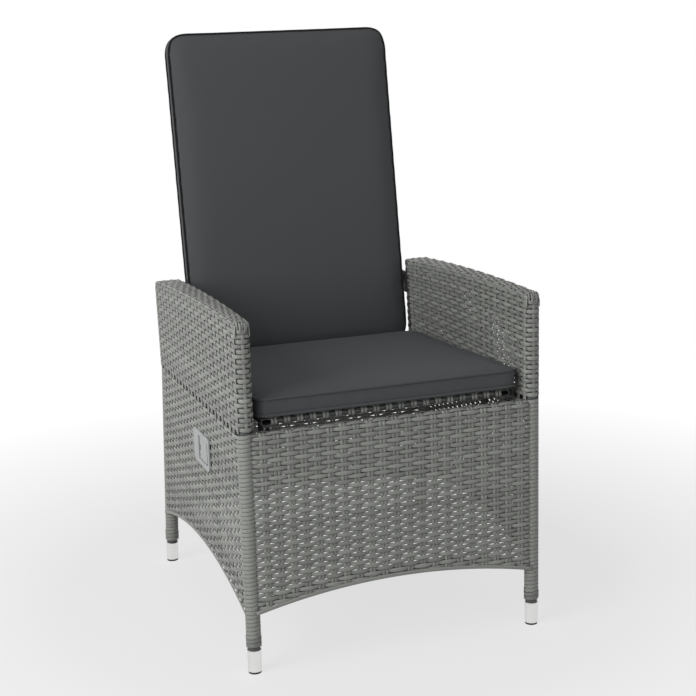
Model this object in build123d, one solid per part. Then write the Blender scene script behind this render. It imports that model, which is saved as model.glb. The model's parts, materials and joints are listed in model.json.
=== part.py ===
from build123d import *
from math import asin, atan2, cos, degrees, hypot, pi, radians, sin, tan
import os

# Reclining woven garden armchair, in millimetres.
# Z is up, the chair faces -Y, and the origin is on the floor under the middle of its outline.
# Right-hand pieces (+X) are drawn, and left-hand ones are their mirror images.

# Plan of the frame
front_leg_y = -339.0
rear_foot_y = 258.0
rear_knee_y = 198.0
rear_top_y = 212.0
rear_knee_z = 430.0
knee_bend_radius = 260.0
wall_half_front = 286.0
wall_flare = 14.0
arm_front_w = 29.0
arm_rear_w = 55.0

# Heights of the arms, the arches and the aprons
arm_top_front_z = 643.0
arm_top_rear_z = 617.0
arm_crown_rise = 6.0
arch_end_z = 112.0
front_arch_rise = 32.0
side_arch_rise = 46.0
rear_arch_rise = 20.0
apron_top_z = 444.0
rear_skirt_top_z = 405.0
side_rail_z = 431.0
inner_rail_z = 424.0

# Tube and strand sections
weave_t = 2.5
leg_r = 11.0
leg_wall = 1.5
rail_r = 8.0
rail_wall = 1.2
rail_fit = 0.1
rod_r = 5.0
arm_rod_r = 4.0
arm_rod_start_share = 0.2
arm_tube_fit = 0.1
arm_tube_end_gap = 1.2
arm_edge_radius = 9.0
sheet_edge = 5.8
weld_seat = 0.5

# Openings of the lower woven walls, in a plain grid that stands for the gaps between strands
opening_columns = 12
opening_rows = 9
opening_w = 10.0
opening_h = 5.5
opening_border = 12.0

# Feet
glide_h = 4.0
glide_r = 11.6
sleeve_h = 40.0
sleeve_wall = 1.6
wrap_gap = 2.0

# Backrest, measured along its own slope from the seat hinge
back_tilt = 9.3
recline_max = 30.0
hinge_y = 224.5
hinge_z = 425.0
back_pivot_z = 570.0
back_tube_r = 10.0
back_tube_wall = 1.5
back_tube_inset = 40.0
back_tube_foot = 14.0
back_top_reach = 662.0
back_corner_radius = 45.0
back_low_bar_reach = 32.0
back_mid_bar_reach = 330.0
back_weave_start = 18.0
back_wrap_start = 176.0
soft_gap = 0.4

# Seat
seat_slope = 3.0
seat_rail_w = 20.0
seat_rail_h = 12.0
seat_rail_wall = 1.5
seat_rail_gap = 3.0
seat_rail_tail = 11.0
seat_front_y = -321.0
seat_rear_bar_y = 180.0
seat_mid_bar_y = -70.0
seat_weave_rear_y = 204.0

# Cushions: each edge share pairs a place across the side with how far the seam draws it in
seat_cushion_front_y = -343.0
seat_cushion_h = 40.0
seat_cushion_side_gap = 2.6
seat_cushion_back_gap = 1.5
cushion_edge_share = 0.72
edge_shares = ((0.0, 1.0), (0.22, 0.25), (0.5, 0.0), (0.78, 0.25), (1.0, 1.0))
back_cushion_gap = 6.5
back_cushion_t = 50.0
back_cushion_start = 12.0
back_cushion_end = 685.8
back_corner = 34.0
seat_corner = 22.0
strap_reach = 560.0
strap_w = 40.0
strap_t = 1.6

# Seat guides: a pin under each seat rail runs in an arc slot
guide_y = -250.0
guide_drop = 50.0
guide_plate_t = 3.0
guide_pin_r = 4.0
guide_bush_r = 6.0
guide_slot_clearance = 0.25
guide_land = 6.0
guide_depth = 18.0
hanger_w = 24.0
hanger_gap = 1.0

# Pivots
pivot_bolt_r = 5.0
hinge_bolt_r = 4.0
hinge_nut_h = 3.0
running_clearance = 0.05
bush_wall = 2.0
hinge_bush_wall = 1.0
washer_t = 1.5
nut_h_share = 0.8
head_h_share = 0.6
hex_share = 0.9
bracket_t = 4.0
bracket_half = 22.0
bracket_gap = 26.0

# Lockable gas strut in the left side, with its release lever
strut_inset = 17.5
strut_front_y = -47.0
strut_front_z = 455.0
strut_arm = 58.0
strut_arm_angle = -10.7
strut_pin_r = 4.0
strut_eye_r = 11.0
strut_eye_w = 12.0
strut_open_clearance = 1.9
strut_tube_r = 9.0
strut_tube_wall = 1.5
strut_rod_r = 4.0
strut_rod_reach = 58.0
strut_head_l = 20.0
strut_nose_l = 20.0
strut_nose_h = 14.0
piston_l = 12.0
piston_clearance = 0.05
ear_t = 3.0
lever_pin_r = 1.6
lever_pivot_y = -57.0
lever_t = 3.0
lever_w = 5.0
lever_l = 20.0
lever_eye_r = 3.2
lever_side_gap = 1.0
lever_slot_y = -53.0

# Handle plate on the left side, with its cup and paddle
handle_y = -102.0
handle_z = 352.0
handle_l = 105.0
handle_h = 64.0
handle_t = 3.0
handle_corner = 10.0
handle_rim = 9.0
window_l = 62.0
window_h = 46.0
window_corner = 2.5
cup_wall = 1.6
paddle_gap = 1.0
paddle_t = 3.0
paddle_rise = 1.4
paddle_finger_gap = 10.0
paddle_lip = 7.0
paddle_pin_r = 1.6
paddle_barrel_r = 3.4
spring_wire_r = 0.5
spring_room = 0.3
spring_turns = 6
spring_share = 0.25
screw_r = 1.9
screw_head_r = 3.4
screw_head_h = 1.4
screw_spread = 14.0
handle_bar_w = 20.0
handle_bar_t = 3.0

# Release cable: straight runs joined by arcs, with a ferrule at each end and bare wire at the lever
cable_r = 2.5
cable_bend_share = 0.45
cable_lead = 16.0
cable_side_gap = 6.5
cable_low_y = -126.0
cable_low_z = 412.0
cable_high_y = -128.0
cable_high_z = 445.0
cable_turn_y = -112.0
cable_end_y = -72.0
ferrule_r = 3.5
ferrule_l = 8.0
wire_r = 0.8
wire_l = 7.0

# One length that carries every cutting tool past the face it cuts
overrun = 5.0

# Derived places
wall_half_rear = wall_half_front + wall_flare
inner_half_front = wall_half_front - arm_front_w
inner_half_rear = wall_half_rear - arm_rear_w
back_tube_x = inner_half_rear - back_tube_inset
back_cushion_half = inner_half_rear - back_cushion_gap
strut_x = inner_half_rear + strut_inset
cable_x = strut_x + cable_side_gap
arm_top_mid_z = (arm_top_front_z + arm_top_rear_z) / 2 + arm_crown_rise
wall_front_y = front_leg_y - leg_r - weave_t
wall_rear_y = rear_top_y + leg_r + weave_t
wall_run = wall_rear_y - wall_front_y
wrap_r = leg_r + weave_t
rail_inset = weave_t + rail_r + rail_fit
arm_axis_drop = weave_t + leg_r + arm_tube_fit
leg_angle = degrees(atan2(rear_foot_y - rear_knee_y, rear_knee_z))
pivot_r = (back_pivot_z - hinge_z) / cos(radians(back_tilt))
pivot_y = hinge_y + (back_pivot_z - hinge_z) * tan(radians(back_tilt))
wrap_start_z = glide_h + sleeve_h + wrap_gap
seat_rail_x = back_tube_x + back_tube_r + seat_rail_gap + seat_rail_w / 2
guide_plate_x = seat_rail_x - seat_rail_w / 2 + guide_plate_t + hanger_gap
cup_depth = weave_t + 2 * rail_r + rail_fit
lever_tip_z = strut_front_z + lever_l

# Crown line of the arms: one circle through its three named heights, drawn in depth and height
crown_circle = ThreePointArc((wall_front_y, arm_top_front_z), ((wall_front_y + wall_rear_y) / 2, arm_top_mid_z),
                             (wall_rear_y, arm_top_rear_z))
crown_r = crown_circle.radius
crown_centre = crown_circle.arc_center


def arm_top(y):
    """Height of the arm's crown at depth y."""
    rise = crown_r * crown_r - (y - crown_centre.X) ** 2
    return crown_centre.Y + rise ** 0.5


def wall_half(y):
    """Half width of the outer woven wall at depth y."""
    return wall_half_front + (wall_half_rear - wall_half_front) * (y - wall_front_y) / wall_run


def inner_half(y):
    """Half width of the inner woven wall's cushion side at depth y."""
    return inner_half_front + (inner_half_rear - inner_half_front) * (y - wall_front_y) / wall_run


def side_plane(half_front, half_rear):
    """Upright plane along one wall line: local x runs to the rear, local y is up, z points out."""
    return Plane(origin=(half_front, wall_front_y, 0.0),
                 x_dir=(half_rear - half_front, wall_run, 0.0),
                 z_dir=(wall_run, half_front - half_rear, 0.0))


outer_wall = side_plane(wall_half_front, wall_half_rear)
inner_wall = side_plane(inner_half_front, inner_half_rear)
leg_plane = outer_wall.offset(-wrap_r)
rail_plane = outer_wall.offset(-rail_inset)


def along(y):
    """Distance along a wall line from its front end, for a depth y."""
    return (y - wall_front_y) * hypot(wall_run, wall_half_rear - wall_half_front) / wall_run


def block(x0, x1, y0, y1, z0, z1):
    """Box between two corners."""
    return Pos((x0 + x1) / 2, (y0 + y1) / 2, (z0 + z1) / 2) * Box(abs(x1 - x0), abs(y1 - y0), abs(z1 - z0))


def bar(start, end, radius):
    """Round bar from one point to another."""
    start, end = Vector(start), Vector(end)
    plane = Plane(origin=start, z_dir=end - start)
    return plane * Cylinder(radius, (end - start).length, align=(Align.CENTER, Align.CENTER, Align.MIN))


def x_bar(y, z, x_from, x_to, radius):
    """Round bar along X between two places."""
    return bar((min(x_from, x_to), y, z), (max(x_from, x_to), y, z), radius)


def pipe(start, end, radius, wall):
    """Straight tube from one point to another."""
    return bar(start, end, radius) - bar(start, end, radius - wall)


def swept(path, radius):
    """Round bar along a path."""
    return sweep(Plane(origin=path @ 0, z_dir=path % 0) * Circle(radius), path=path)


def mirrored(solid):
    """The left-hand twin of a right-hand piece."""
    return mirror(solid, about=Plane.YZ)


def slab(plane, outline, thickness):
    """Sheet of a given thickness, from a face outline in a plane towards the plane's back."""
    return extrude(plane * outline, amount=thickness, dir=-plane.z_dir)


def biggest(shape):
    """The largest solid of a shape, left when a cut has taken small ends off."""
    return max(shape.solids(), key=lambda solid: solid.volume)


def save(node, *shapes):
    """Write one node from its solids."""
    found = [solid for shape in shapes for solid in shape.solids()]
    result = found[0] if len(found) == 1 else Compound(children=found)
    export_step(result, os.path.join("parts", node + ".step"))


def save_twins(name, right):
    """Write a right-hand piece and its left-hand twin as two nodes."""
    save(name + "_right", right)
    save(name + "_left", mirrored(right))


def save_both(name, *rights):
    """Write right-hand pieces and their left-hand twins as one node."""
    save(name, *rights, *[mirrored(piece) for piece in rights])


def crown_line(y_start, y_end, drop):
    """Arc of the arm's crown lowered by a drop, in a wall plane's own coordinates."""
    return ThreePointArc(*[(along(y), arm_top(y) - drop) for y in (y_start, (y_start + y_end) / 2, y_end)])


def rear_leg_y(z):
    """Depth of the rear leg's axis at a height, bend left out."""
    if z < rear_knee_z:
        return rear_foot_y + (rear_knee_y - rear_foot_y) * z / rear_knee_z
    return rear_knee_y + (rear_top_y - rear_knee_y) * (z - rear_knee_z) / (arm_top_rear_z - rear_knee_z)


def rear_face():
    """Plane of the rear skirt: square behind the rear legs' lower run, local y up along them."""
    lean = radians(leg_angle)
    normal = Vector(0, cos(lean), sin(lean))
    return Plane(origin=Vector(0, rear_foot_y, 0) + normal * wrap_r, x_dir=(-1, 0, 0), z_dir=normal)


# Leg and arm axes of the right-hand side, and the solid bars that every joint is cut with
rear_leg_path = leg_plane * FilletPolyline(
    (along(rear_foot_y), glide_h),
    (along(rear_knee_y), rear_knee_z),
    (along(rear_top_y), arm_top(rear_top_y) - arm_axis_drop),
    radius=knee_bend_radius)
front_leg_foot = leg_plane.from_local_coords((along(front_leg_y), glide_h, 0.0))
front_leg_head = leg_plane.from_local_coords((along(front_leg_y), arm_top(front_leg_y) - arm_axis_drop, 0.0))
arm_path = leg_plane * crown_line(front_leg_y - leg_r + arm_tube_end_gap, rear_top_y + leg_r - arm_tube_end_gap,
                                  arm_axis_drop)
front_leg_x = front_leg_foot.X
rear_leg_x = leg_plane.from_local_coords((along(rear_knee_y), rear_knee_z, 0.0)).X


def leg_bars(radius):
    """Front and rear legs of the right-hand side as solid bars."""
    return bar(front_leg_foot, front_leg_head, radius), swept(rear_leg_path, radius)


front_core, rear_core = leg_bars(leg_r)
front_wrap_core, rear_wrap_core = leg_bars(wrap_r)
arm_core = swept(arm_path, leg_r)
leg_cores = front_core + rear_core
wrap_cores = front_wrap_core + rear_wrap_core
far_x = wall_half_rear + overrun
far_y = wall_run


def below(height):
    """Block that takes away everything lower than a height."""
    return block(-far_x, far_x, -far_y, far_y, -overrun, height)


def leg_pieces():
    """Front and rear leg tubes, coped to the arm tube."""
    inner_front, inner_rear = leg_bars(leg_r - leg_wall)
    save_both("front_legs", biggest(front_core - inner_front - arm_core))
    save_both("rear_legs", biggest(rear_core - inner_rear - arm_core - below(glide_h)))
    save_both("arm_tubes", arm_core - swept(arm_path, leg_r - leg_wall))


def feet():
    """Bright sleeves, and glides with stems pushed into the legs."""
    rear_axis = Plane(origin=rear_leg_path @ 0, z_dir=rear_leg_path % 0)
    standing = (Align.CENTER, Align.CENTER, Align.MIN)
    outside = Cylinder(leg_r + sleeve_wall, sleeve_h, align=standing)
    bore = Cylinder(leg_r, sleeve_h + 2 * overrun, align=standing)
    sleeves, glides = [], []
    for plane in (Plane(origin=front_leg_foot, z_dir=(0, 0, 1)), rear_axis):
        sleeves.append(plane * outside - plane.offset(-overrun) * bore - below(glide_h))
        disc = Pos(plane.origin.X, plane.origin.Y, 0.0) * Cylinder(glide_r, glide_h, align=standing)
        stem = plane * Cylinder(leg_r - leg_wall - running_clearance, sleeve_h / 2, align=standing)
        glides.append(disc + (stem - below(glide_h)))
    save_both("leg_sleeves", *sleeves)
    save_both("leg_glides", *glides)


def rail_paths():
    """Axes of the tube rails: those of the right-hand side, and those across the frame."""
    low_z = arch_end_z + rail_inset
    u_front, u_rear = along(front_leg_y), along(rear_leg_y(low_z))
    side = {
        "side_rails": rail_plane * Line((u_front, side_rail_z), (along(rear_leg_y(side_rail_z)), side_rail_z)),
        "side_arch_rails": rail_plane * ThreePointArc(
            (u_front, low_z), ((u_front + u_rear) / 2, low_z + side_arch_rise), (u_rear, low_z)),
    }
    front_plane = Plane(origin=(0, wall_front_y + rail_inset, 0), x_dir=(1, 0, 0), z_dir=(0, -1, 0))
    across = {}
    for end, plane, half, top, rise in (
            ("front", front_plane, front_leg_x, apron_top_z, front_arch_rise),
            ("rear", rear_face().offset(-rail_inset), rear_leg_x, rear_skirt_top_z, rear_arch_rise)):
        across[end + "_top_rail"] = plane * Line((-half, top - rail_inset), (half, top - rail_inset))
        across[end + "_arch_rail"] = plane * ThreePointArc((-half, low_z), (0.0, low_z + rise), (half, low_z))
    return side, across


def elbow(end, radius):
    """Short run of a rod from its rear end outwards to the rear leg."""
    leg_x = leg_plane.from_local_coords((along(end.Y), end.Z, 0.0)).X
    return Pos(end.X, end.Y, end.Z) * Sphere(radius) + bar(end, (leg_x, end.Y, end.Z), radius)


def inner_rods():
    """Right-hand rods behind the inner wall: at the seat's level, and under the arm's inner edge."""
    side = inner_wall.offset(weave_t + rod_r)
    low_start = side.from_local_coords((along(wall_front_y + cup_depth), inner_rail_z, 0.0))
    low_end = side.from_local_coords((along(rear_leg_y(inner_rail_z)), inner_rail_z, 0.0))
    high_path = inner_wall.offset(weave_t + arm_rod_r) * crown_line(
        wall_front_y + wall_run * arm_rod_start_share, rear_top_y, weave_t + arm_edge_radius)
    return {
        "inner_side_rails": bar(low_start, low_end, rod_r) + elbow(low_end, rod_r),
        "arm_inner_rods": swept(high_path, arm_rod_r) + elbow(high_path @ 1, arm_rod_r),
    }


def frame_rails():
    """Rails between the legs; returns the solid bars of the right-hand side for cutting the wraps."""
    side, across = rail_paths()
    both_legs = leg_cores + mirrored(leg_cores)
    cores = []
    for name, path in side.items():
        cores.append(swept(path, rail_r))
        save_both(name, biggest(cores[-1] - leg_cores) - swept(path, rail_r - rail_wall))
    for name, path in across.items():
        cores.append(swept(path, rail_r))
        save(name, biggest(cores[-1] - both_legs) - swept(path, rail_r - rail_wall))
    for name, rod in inner_rods().items():
        cores.append(rod)
        save_both(name, biggest(rod - leg_cores - arm_core))
    return cores


def cap_envelope(shrink, skirt):
    """Wall prism under the arm's crown with rounded long edges, shrunk on every side but below."""
    y_front, y_rear = wall_front_y + shrink, wall_rear_y - shrink
    crown = crown_line(y_front, y_rear, shrink)
    lower = crown_line(y_rear, y_front, skirt)
    outline = make_face([crown, Line(crown @ 1, lower @ 0), lower, Line(lower @ 1, crown @ 0)])
    prism = slab(outer_wall.offset(-shrink), outline, wall_half_rear - inner_half_rear + 2 * overrun)
    inner = inner_wall.offset(shrink)
    prism = prism & extrude(inner * Rectangle(4 * wall_run, 4 * wall_run), amount=wall_run, dir=inner.z_dir)
    lengthwise = [edge for edge in prism.edges() if edge.length > wall_run / 2]
    top_pair = sorted(lengthwise, key=lambda edge: edge.center().Z)[-2:]
    return fillet(top_pair, arm_edge_radius - shrink)


def side_outline(front_y, low_z, rise, rear_inset, top_drop):
    """Face of a side panel in a wall plane: arched below, along the rear leg, under the arm's crown."""
    top_y = rear_top_y - rear_inset
    low_front = (along(front_y), low_z)
    low_rear = (along(rear_leg_y(low_z) - rear_inset), low_z)
    knee = (along(rear_knee_y - rear_inset), rear_knee_z)
    top = crown_line(top_y, front_y, top_drop)
    low = Line(low_front, low_rear)
    if rise:
        low = ThreePointArc(low_front, ((low_front[0] + low_rear[0]) / 2, low_z + rise), low_rear)
    return make_face([low, Line(low_rear, knee), Line(knee, top @ 0), top, Line(top @ 1, low_front)])


def arch_outline(half, top, rise):
    """Apron outline, centred: straight sides and top over an arched lower edge."""
    arch = ThreePointArc((-half, arch_end_z), (0.0, arch_end_z + rise), (half, arch_end_z))
    return make_face([arch, Polyline((half, arch_end_z), (half, top), (-half, top), (-half, arch_end_z))])


def opening_places(x_low, x_high, z_low, z_high):
    """Centres of the grid of openings over part of a woven wall, across and up in the wall's plane."""
    columns = [x_low + (x_high - x_low) * (2 * i + 1) / (2 * opening_columns) for i in range(opening_columns)]
    rows = [z_low + (z_high - z_low) * (2 * j + 1) / (2 * opening_rows) for j in range(opening_rows)]
    return [(x, z) for x in columns for z in rows]


def opened(sheet, plane, places):
    """A woven wall with an opening at each place."""
    cutter = Box(opening_w, opening_h, 2 * (weave_t + overrun))
    return sheet - [plane * Pos(x, z) * cutter for x, z in places]


def weave_pieces(rail_cores, bracket):
    """Woven walls as plain sheets at their true places, and the strand wraps of the legs."""
    envelope = cap_envelope(0.0, weave_t + leg_r)
    cap = envelope - cap_envelope(weave_t, weave_t + leg_r + overrun)
    save_twins("arm_weave", cap)

    outer = slab(outer_wall, side_outline(front_leg_y + sheet_edge, arch_end_z, side_arch_rise, sheet_edge, leg_r),
                 weave_t) - wrap_cores - envelope
    cup, flange = cup_blank()
    places = opening_places(along(front_leg_y + wrap_r) + opening_border, along(rear_knee_y - wrap_r) - opening_border,
                            arch_end_z + side_arch_rise + opening_border, side_rail_z - opening_border)
    beside = [(x, z) for x, z in places if abs(x - along(handle_y)) > handle_l / 2 + opening_w
              or abs(z - handle_z) > handle_h / 2 + opening_h]
    save("side_weave_right", opened(outer, outer_wall, places))
    save("side_weave_left", mirrored(opened(outer, outer_wall, beside) - cup - flange))
    inner = slab(inner_wall.offset(weave_t),
                 side_outline(front_leg_y + wrap_r, inner_rail_z - rod_r, 0.0, leg_r + rod_r, leg_r), weave_t)
    save_twins("inner_weave", inner - envelope)

    both_wraps = wrap_cores + mirrored(wrap_cores)
    front_face = Plane(origin=(0, wall_front_y, 0), x_dir=(1, 0, 0), z_dir=(0, -1, 0))
    apron = slab(front_face, arch_outline(front_leg_x - sheet_edge, apron_top_z, front_arch_rise), weave_t)
    lip_x = front_leg_x - wrap_r
    lip = block(-lip_x, lip_x, wall_front_y + weave_t, wall_front_y + weave_t + 2 * rail_r,
                apron_top_z - weave_t, apron_top_z)
    between = front_leg_x - wrap_r - opening_border
    places = opening_places(-between, between, arch_end_z + front_arch_rise + opening_border,
                            apron_top_z - rail_inset - opening_border)
    save("front_weave", opened(apron - both_wraps, front_face, places) + lip)
    skirt = slab(rear_face(), arch_outline(rear_leg_x - sheet_edge, rear_skirt_top_z, rear_arch_rise), weave_t)
    between = rear_leg_x - wrap_r - opening_border
    places = opening_places(-between, between, arch_end_z + rear_arch_rise + opening_border,
                            rear_skirt_top_z - rail_inset - opening_border)
    save("rear_weave", opened(skirt - both_wraps, rear_face(), places))

    wraps = []
    for wrap, core in ((front_wrap_core, front_core), (rear_wrap_core, rear_core)):
        wrap = wrap - core - arm_core - envelope - below(wrap_start_z)
        for rail in rail_cores:
            wrap = wrap - rail
        wraps.append(biggest(wrap - bracket))
    save_both("leg_wraps", *wraps)


def tilted(reach, forward, x=0.0):
    """Point on the backrest: reach up its slope from the seat hinge, forward from its tube plane."""
    lean = radians(back_tilt)
    return Vector(x, hinge_y + reach * sin(lean) - forward * cos(lean),
                  hinge_z + reach * cos(lean) + forward * sin(lean))


def back_plane(forward):
    """Plane across the backrest: local x is +X, local y runs up the slope, z points forward."""
    lean = radians(back_tilt)
    return Plane(origin=tilted(0.0, forward), x_dir=(1, 0, 0), z_dir=(0, -cos(lean), sin(lean)))


def backrest_frame():
    """Bent back hoop, the bars across it, and the woven back, wrapped round the hoop's sides."""
    corners = ((back_tube_x, -back_tube_foot), (back_tube_x, back_top_reach),
               (-back_tube_x, back_top_reach), (-back_tube_x, -back_tube_foot))
    path = back_plane(0.0) * FilletPolyline(*corners, radius=back_corner_radius)
    hoop_core = swept(path, back_tube_r)
    hinge_hole = x_bar(hinge_y, hinge_z, -far_x, far_x, hinge_bolt_r)
    pivot_hole = x_bar(pivot_y, back_pivot_z, -far_x, far_x, pivot_bolt_r + bush_wall)
    save("back_hoop", hoop_core - swept(path, back_tube_r - back_tube_wall) - hinge_hole - pivot_hole)

    forward = back_tube_r - rail_r
    bars, bar_cores = [], []
    for reach in (back_low_bar_reach, back_mid_bar_reach):
        ends = tilted(reach, forward, -back_tube_x), tilted(reach, forward, back_tube_x)
        bar_cores.append(bar(*ends, rail_r))
        bars.append(biggest(pipe(*ends, rail_r, rail_wall) - hoop_core))
    save("back_cross_bars", *bars)

    half = back_tube_x + back_tube_r + weave_t
    top = back_top_reach + back_tube_r + weave_t
    corner = back_corner_radius + back_tube_r
    face = Pos(0.0, (top + back_weave_start) / 2) * RectangleRounded(2 * half, top - back_weave_start, corner)
    face = face + Pos(0.0, back_weave_start + corner) * Rectangle(2 * half, 2 * corner)
    sheet = slab(back_plane(back_tube_r + weave_t), face, weave_t)
    wrap_end = back_top_reach - back_corner_radius
    section = Circle(back_tube_r + weave_t) + Pos(0.0, -back_tube_r / 2) * Rectangle(
        2 * (back_tube_r + weave_t), back_tube_r)
    section = section - Circle(back_tube_r) - Pos(0.0, -back_tube_r / 2) * Rectangle(2 * back_tube_r, back_tube_r)
    up = tilted(wrap_end, 0.0) - tilted(back_wrap_start, 0.0)
    wrap_plane = Plane(origin=tilted(back_wrap_start, 0.0, back_tube_x), x_dir=(1, 0, 0), z_dir=up)
    wrap = extrude(wrap_plane * section, amount=wrap_end - back_wrap_start)
    weave = sheet + wrap + mirrored(wrap)
    for core in bar_cores:
        weave = weave - core
    save("back_weave", weave)


def seat_point(y, rise=0.0, x=0.0):
    """Point over the seat rails' axis line at depth y, raised square to the seat."""
    slope = radians(seat_slope)
    return Vector(x, y + rise * sin(slope), hinge_z + (hinge_y - y) * tan(slope) + rise * cos(slope))


def seat_plane(rise):
    """Plane of the seat: local x is +X, local y runs to the rear, z is up, origin at the hinge line."""
    slope = radians(seat_slope)
    return Plane(origin=seat_point(hinge_y, rise), x_dir=(1, 0, 0), z_dir=(0, sin(slope), cos(slope)))


def on_seat(y):
    """Local y in the seat plane for a depth y."""
    return (y - hinge_y) / cos(radians(seat_slope))


def oval_bar(length, shrink):
    """Flat bar with round edges along local X, centred."""
    section = SlotOverall(seat_rail_w - 2 * shrink, seat_rail_h - 2 * shrink)
    return extrude(Plane.YZ * section, amount=length / 2, both=True)


def seat_side_core(shrink):
    """Right-hand seat rail as a solid bar."""
    start, end = on_seat(seat_front_y), seat_rail_tail
    return seat_plane(0.0) * (Pos(seat_rail_x, (start + end) / 2, 0.0) * Rot(0, 0, 90) * oval_bar(end - start, shrink))


def seat_frame():
    """Flat-oval seat rails: two along the sides, three across; and the woven seat over them."""
    side = seat_side_core(0.0)
    hole = x_bar(hinge_y, hinge_z, 0.0, far_x, hinge_bolt_r + hinge_bush_wall)
    save_both("seat_side_rails", side - seat_side_core(seat_rail_wall) - hole)
    both_sides = side + mirrored(side)
    rails = []
    for y in (seat_front_y + seat_rail_w / 2, seat_mid_bar_y, seat_rear_bar_y):
        tube = oval_bar(2 * seat_rail_x, 0.0) - oval_bar(2 * seat_rail_x, seat_rail_wall)
        rails.append(biggest(seat_plane(0.0) * (Pos(0.0, on_seat(y), 0.0) * tube) - both_sides))
    save("seat_cross_rails", *rails)

    top = seat_rail_h / 2 + weave_t
    start, end = on_seat(seat_front_y) - weave_t, on_seat(seat_weave_rear_y)
    width = 2 * (seat_rail_x + seat_rail_w / 2)
    sheet = slab(seat_plane(top), Pos(0.0, (start + end) / 2) * Rectangle(width, end - start), weave_t)
    lip = slab(seat_plane(top - weave_t), Pos(0.0, start + weave_t / 2) * Rectangle(width, weave_t), seat_rail_h)
    save("seat_weave", sheet + lip)


def seat_cushion():
    """Seat cushion: drawn in at its seams, fullest at mid height, with a shallow crown below and above."""
    face_forward = back_tube_r + weave_t + soft_gap + back_cushion_t
    y_front = on_seat(seat_cushion_front_y)
    y_rear = on_seat(tilted(0.0, face_forward).Y) - seat_cushion_back_gap
    half_front = inner_half(seat_cushion_front_y) - seat_cushion_side_gap
    half_rear = inner_half(hinge_y + y_rear) - seat_cushion_side_gap

    def section(rise, pull):
        outline = Polyline((-half_front + pull, y_front + pull), (half_front - pull, y_front + pull),
                           (half_rear - pull, y_rear - pull), (-half_rear + pull, y_rear - pull), close=True)
        return seat_plane(rise) * fillet(make_face(outline).vertices(), seat_corner)

    save("seat_cushion", pillow(section, seat_rail_h / 2 + weave_t + soft_gap, seat_cushion_h, seat_corner))


def back_cushion():
    """Back cushion: rounded corners, seams drawn in, fullest at mid thickness, crowned faces."""
    length = back_cushion_end - back_cushion_start
    middle = Pos(0.0, (back_cushion_end + back_cushion_start) / 2)

    def section(forward, pull):
        return back_plane(forward) * (middle * RectangleRounded(
            2 * (back_cushion_half - pull), length - 2 * pull, back_corner))

    save("back_cushion", pillow(section, back_tube_r + weave_t + soft_gap, back_cushion_t, 0.0))


def pillow(section, start, thickness, extra_pull):
    """Closed cushion from a section function: a waisted side and one crowned layer on each face."""
    edge = thickness * (1 - cushion_edge_share) / 2
    draw = edge
    span = thickness - 2 * edge
    body = loft([section(start + edge + span * place, draw * pull) for place, pull in edge_shares])
    crown_pull = 3 * draw + extra_pull
    low = loft([section(start + edge, draw), section(start, crown_pull)], ruled=True)
    high = loft([section(start + edge + span, draw), section(start + thickness, crown_pull)], ruled=True)
    return body + low + high


def cushion_strap():
    """Elastic band sewn to the back of the cushion and passed round the back hoop."""
    half = back_tube_x + back_tube_r + weave_t
    depth = back_tube_r + weave_t
    outer = Pos(0.0, strap_reach) * Rectangle(2 * (half + strap_t), strap_w)
    inner = Pos(0.0, strap_reach) * Rectangle(2 * half, 2 * strap_w)
    front = back_plane(depth + soft_gap)
    save("back_cushion_strap", slab(front, outer, 2 * depth + soft_gap + strap_t) - slab(front, inner, 2 * depth + soft_gap))


def hex_bar(y, z, x_from, x_to, radius):
    """Hexagon along X between two places."""
    prism = Plane(origin=(min(x_from, x_to), y, z), z_dir=(1, 0, 0)) * RegularPolygon(radius, 6)
    return extrude(prism, amount=abs(x_to - x_from))


def pivot_bracket():
    """Bracket from the right rear leg to the backrest pivot."""
    inboard = back_tube_x + back_tube_r + bracket_gap
    low, high = back_pivot_z - bracket_half, back_pivot_z + bracket_half
    start_y = rear_leg_y(back_pivot_z) - leg_r / 2
    plate = block(inboard, inboard + bracket_t, start_y, pivot_y, low, high)
    plate = plate + x_bar(pivot_y, back_pivot_z, inboard, inboard + bracket_t, bracket_half)
    web = block(inboard, rear_leg_x, start_y, start_y + bracket_t, low, high)
    hole = x_bar(pivot_y, back_pivot_z, inboard - overrun, inboard + bracket_t + overrun, pivot_bolt_r)
    return biggest(plate + web - hole - rear_core)


def back_pivots(bracket):
    """Brackets, bolts, nuts and long flanged bushes of the backrest pivot."""
    save_both("pivot_brackets", bracket)
    inboard = back_tube_x + back_tube_r + bracket_gap
    inner_end = back_tube_x - back_tube_r
    outer_end = back_tube_x + back_tube_r
    nut_h = 2 * pivot_bolt_r * nut_h_share
    head_h = 2 * pivot_bolt_r * head_h_share
    hex_r = 2 * pivot_bolt_r * hex_share
    bolt = x_bar(pivot_y, back_pivot_z, inner_end - nut_h - 2 * washer_t, inboard + bracket_t, pivot_bolt_r)
    bolt = bolt + hex_bar(pivot_y, back_pivot_z, inboard + bracket_t, inboard + bracket_t + head_h, hex_r)
    nut = hex_bar(pivot_y, back_pivot_z, inner_end - washer_t - nut_h, inner_end - washer_t, hex_r)
    nut = nut - x_bar(pivot_y, back_pivot_z, inner_end - 2 * nut_h, inner_end, pivot_bolt_r)
    bush_r = pivot_bolt_r + bush_wall
    bush = x_bar(pivot_y, back_pivot_z, inner_end, outer_end, bush_r)
    bush = bush + x_bar(pivot_y, back_pivot_z, outer_end, inboard - running_clearance, bush_r + bush_wall)
    bush = bush - x_bar(pivot_y, back_pivot_z, inner_end - overrun, inboard + overrun,
                        pivot_bolt_r + running_clearance)
    save_both("pivot_bolts", bolt)
    save_both("pivot_nuts", nut)
    save_both("pivot_bushes", bush)


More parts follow.
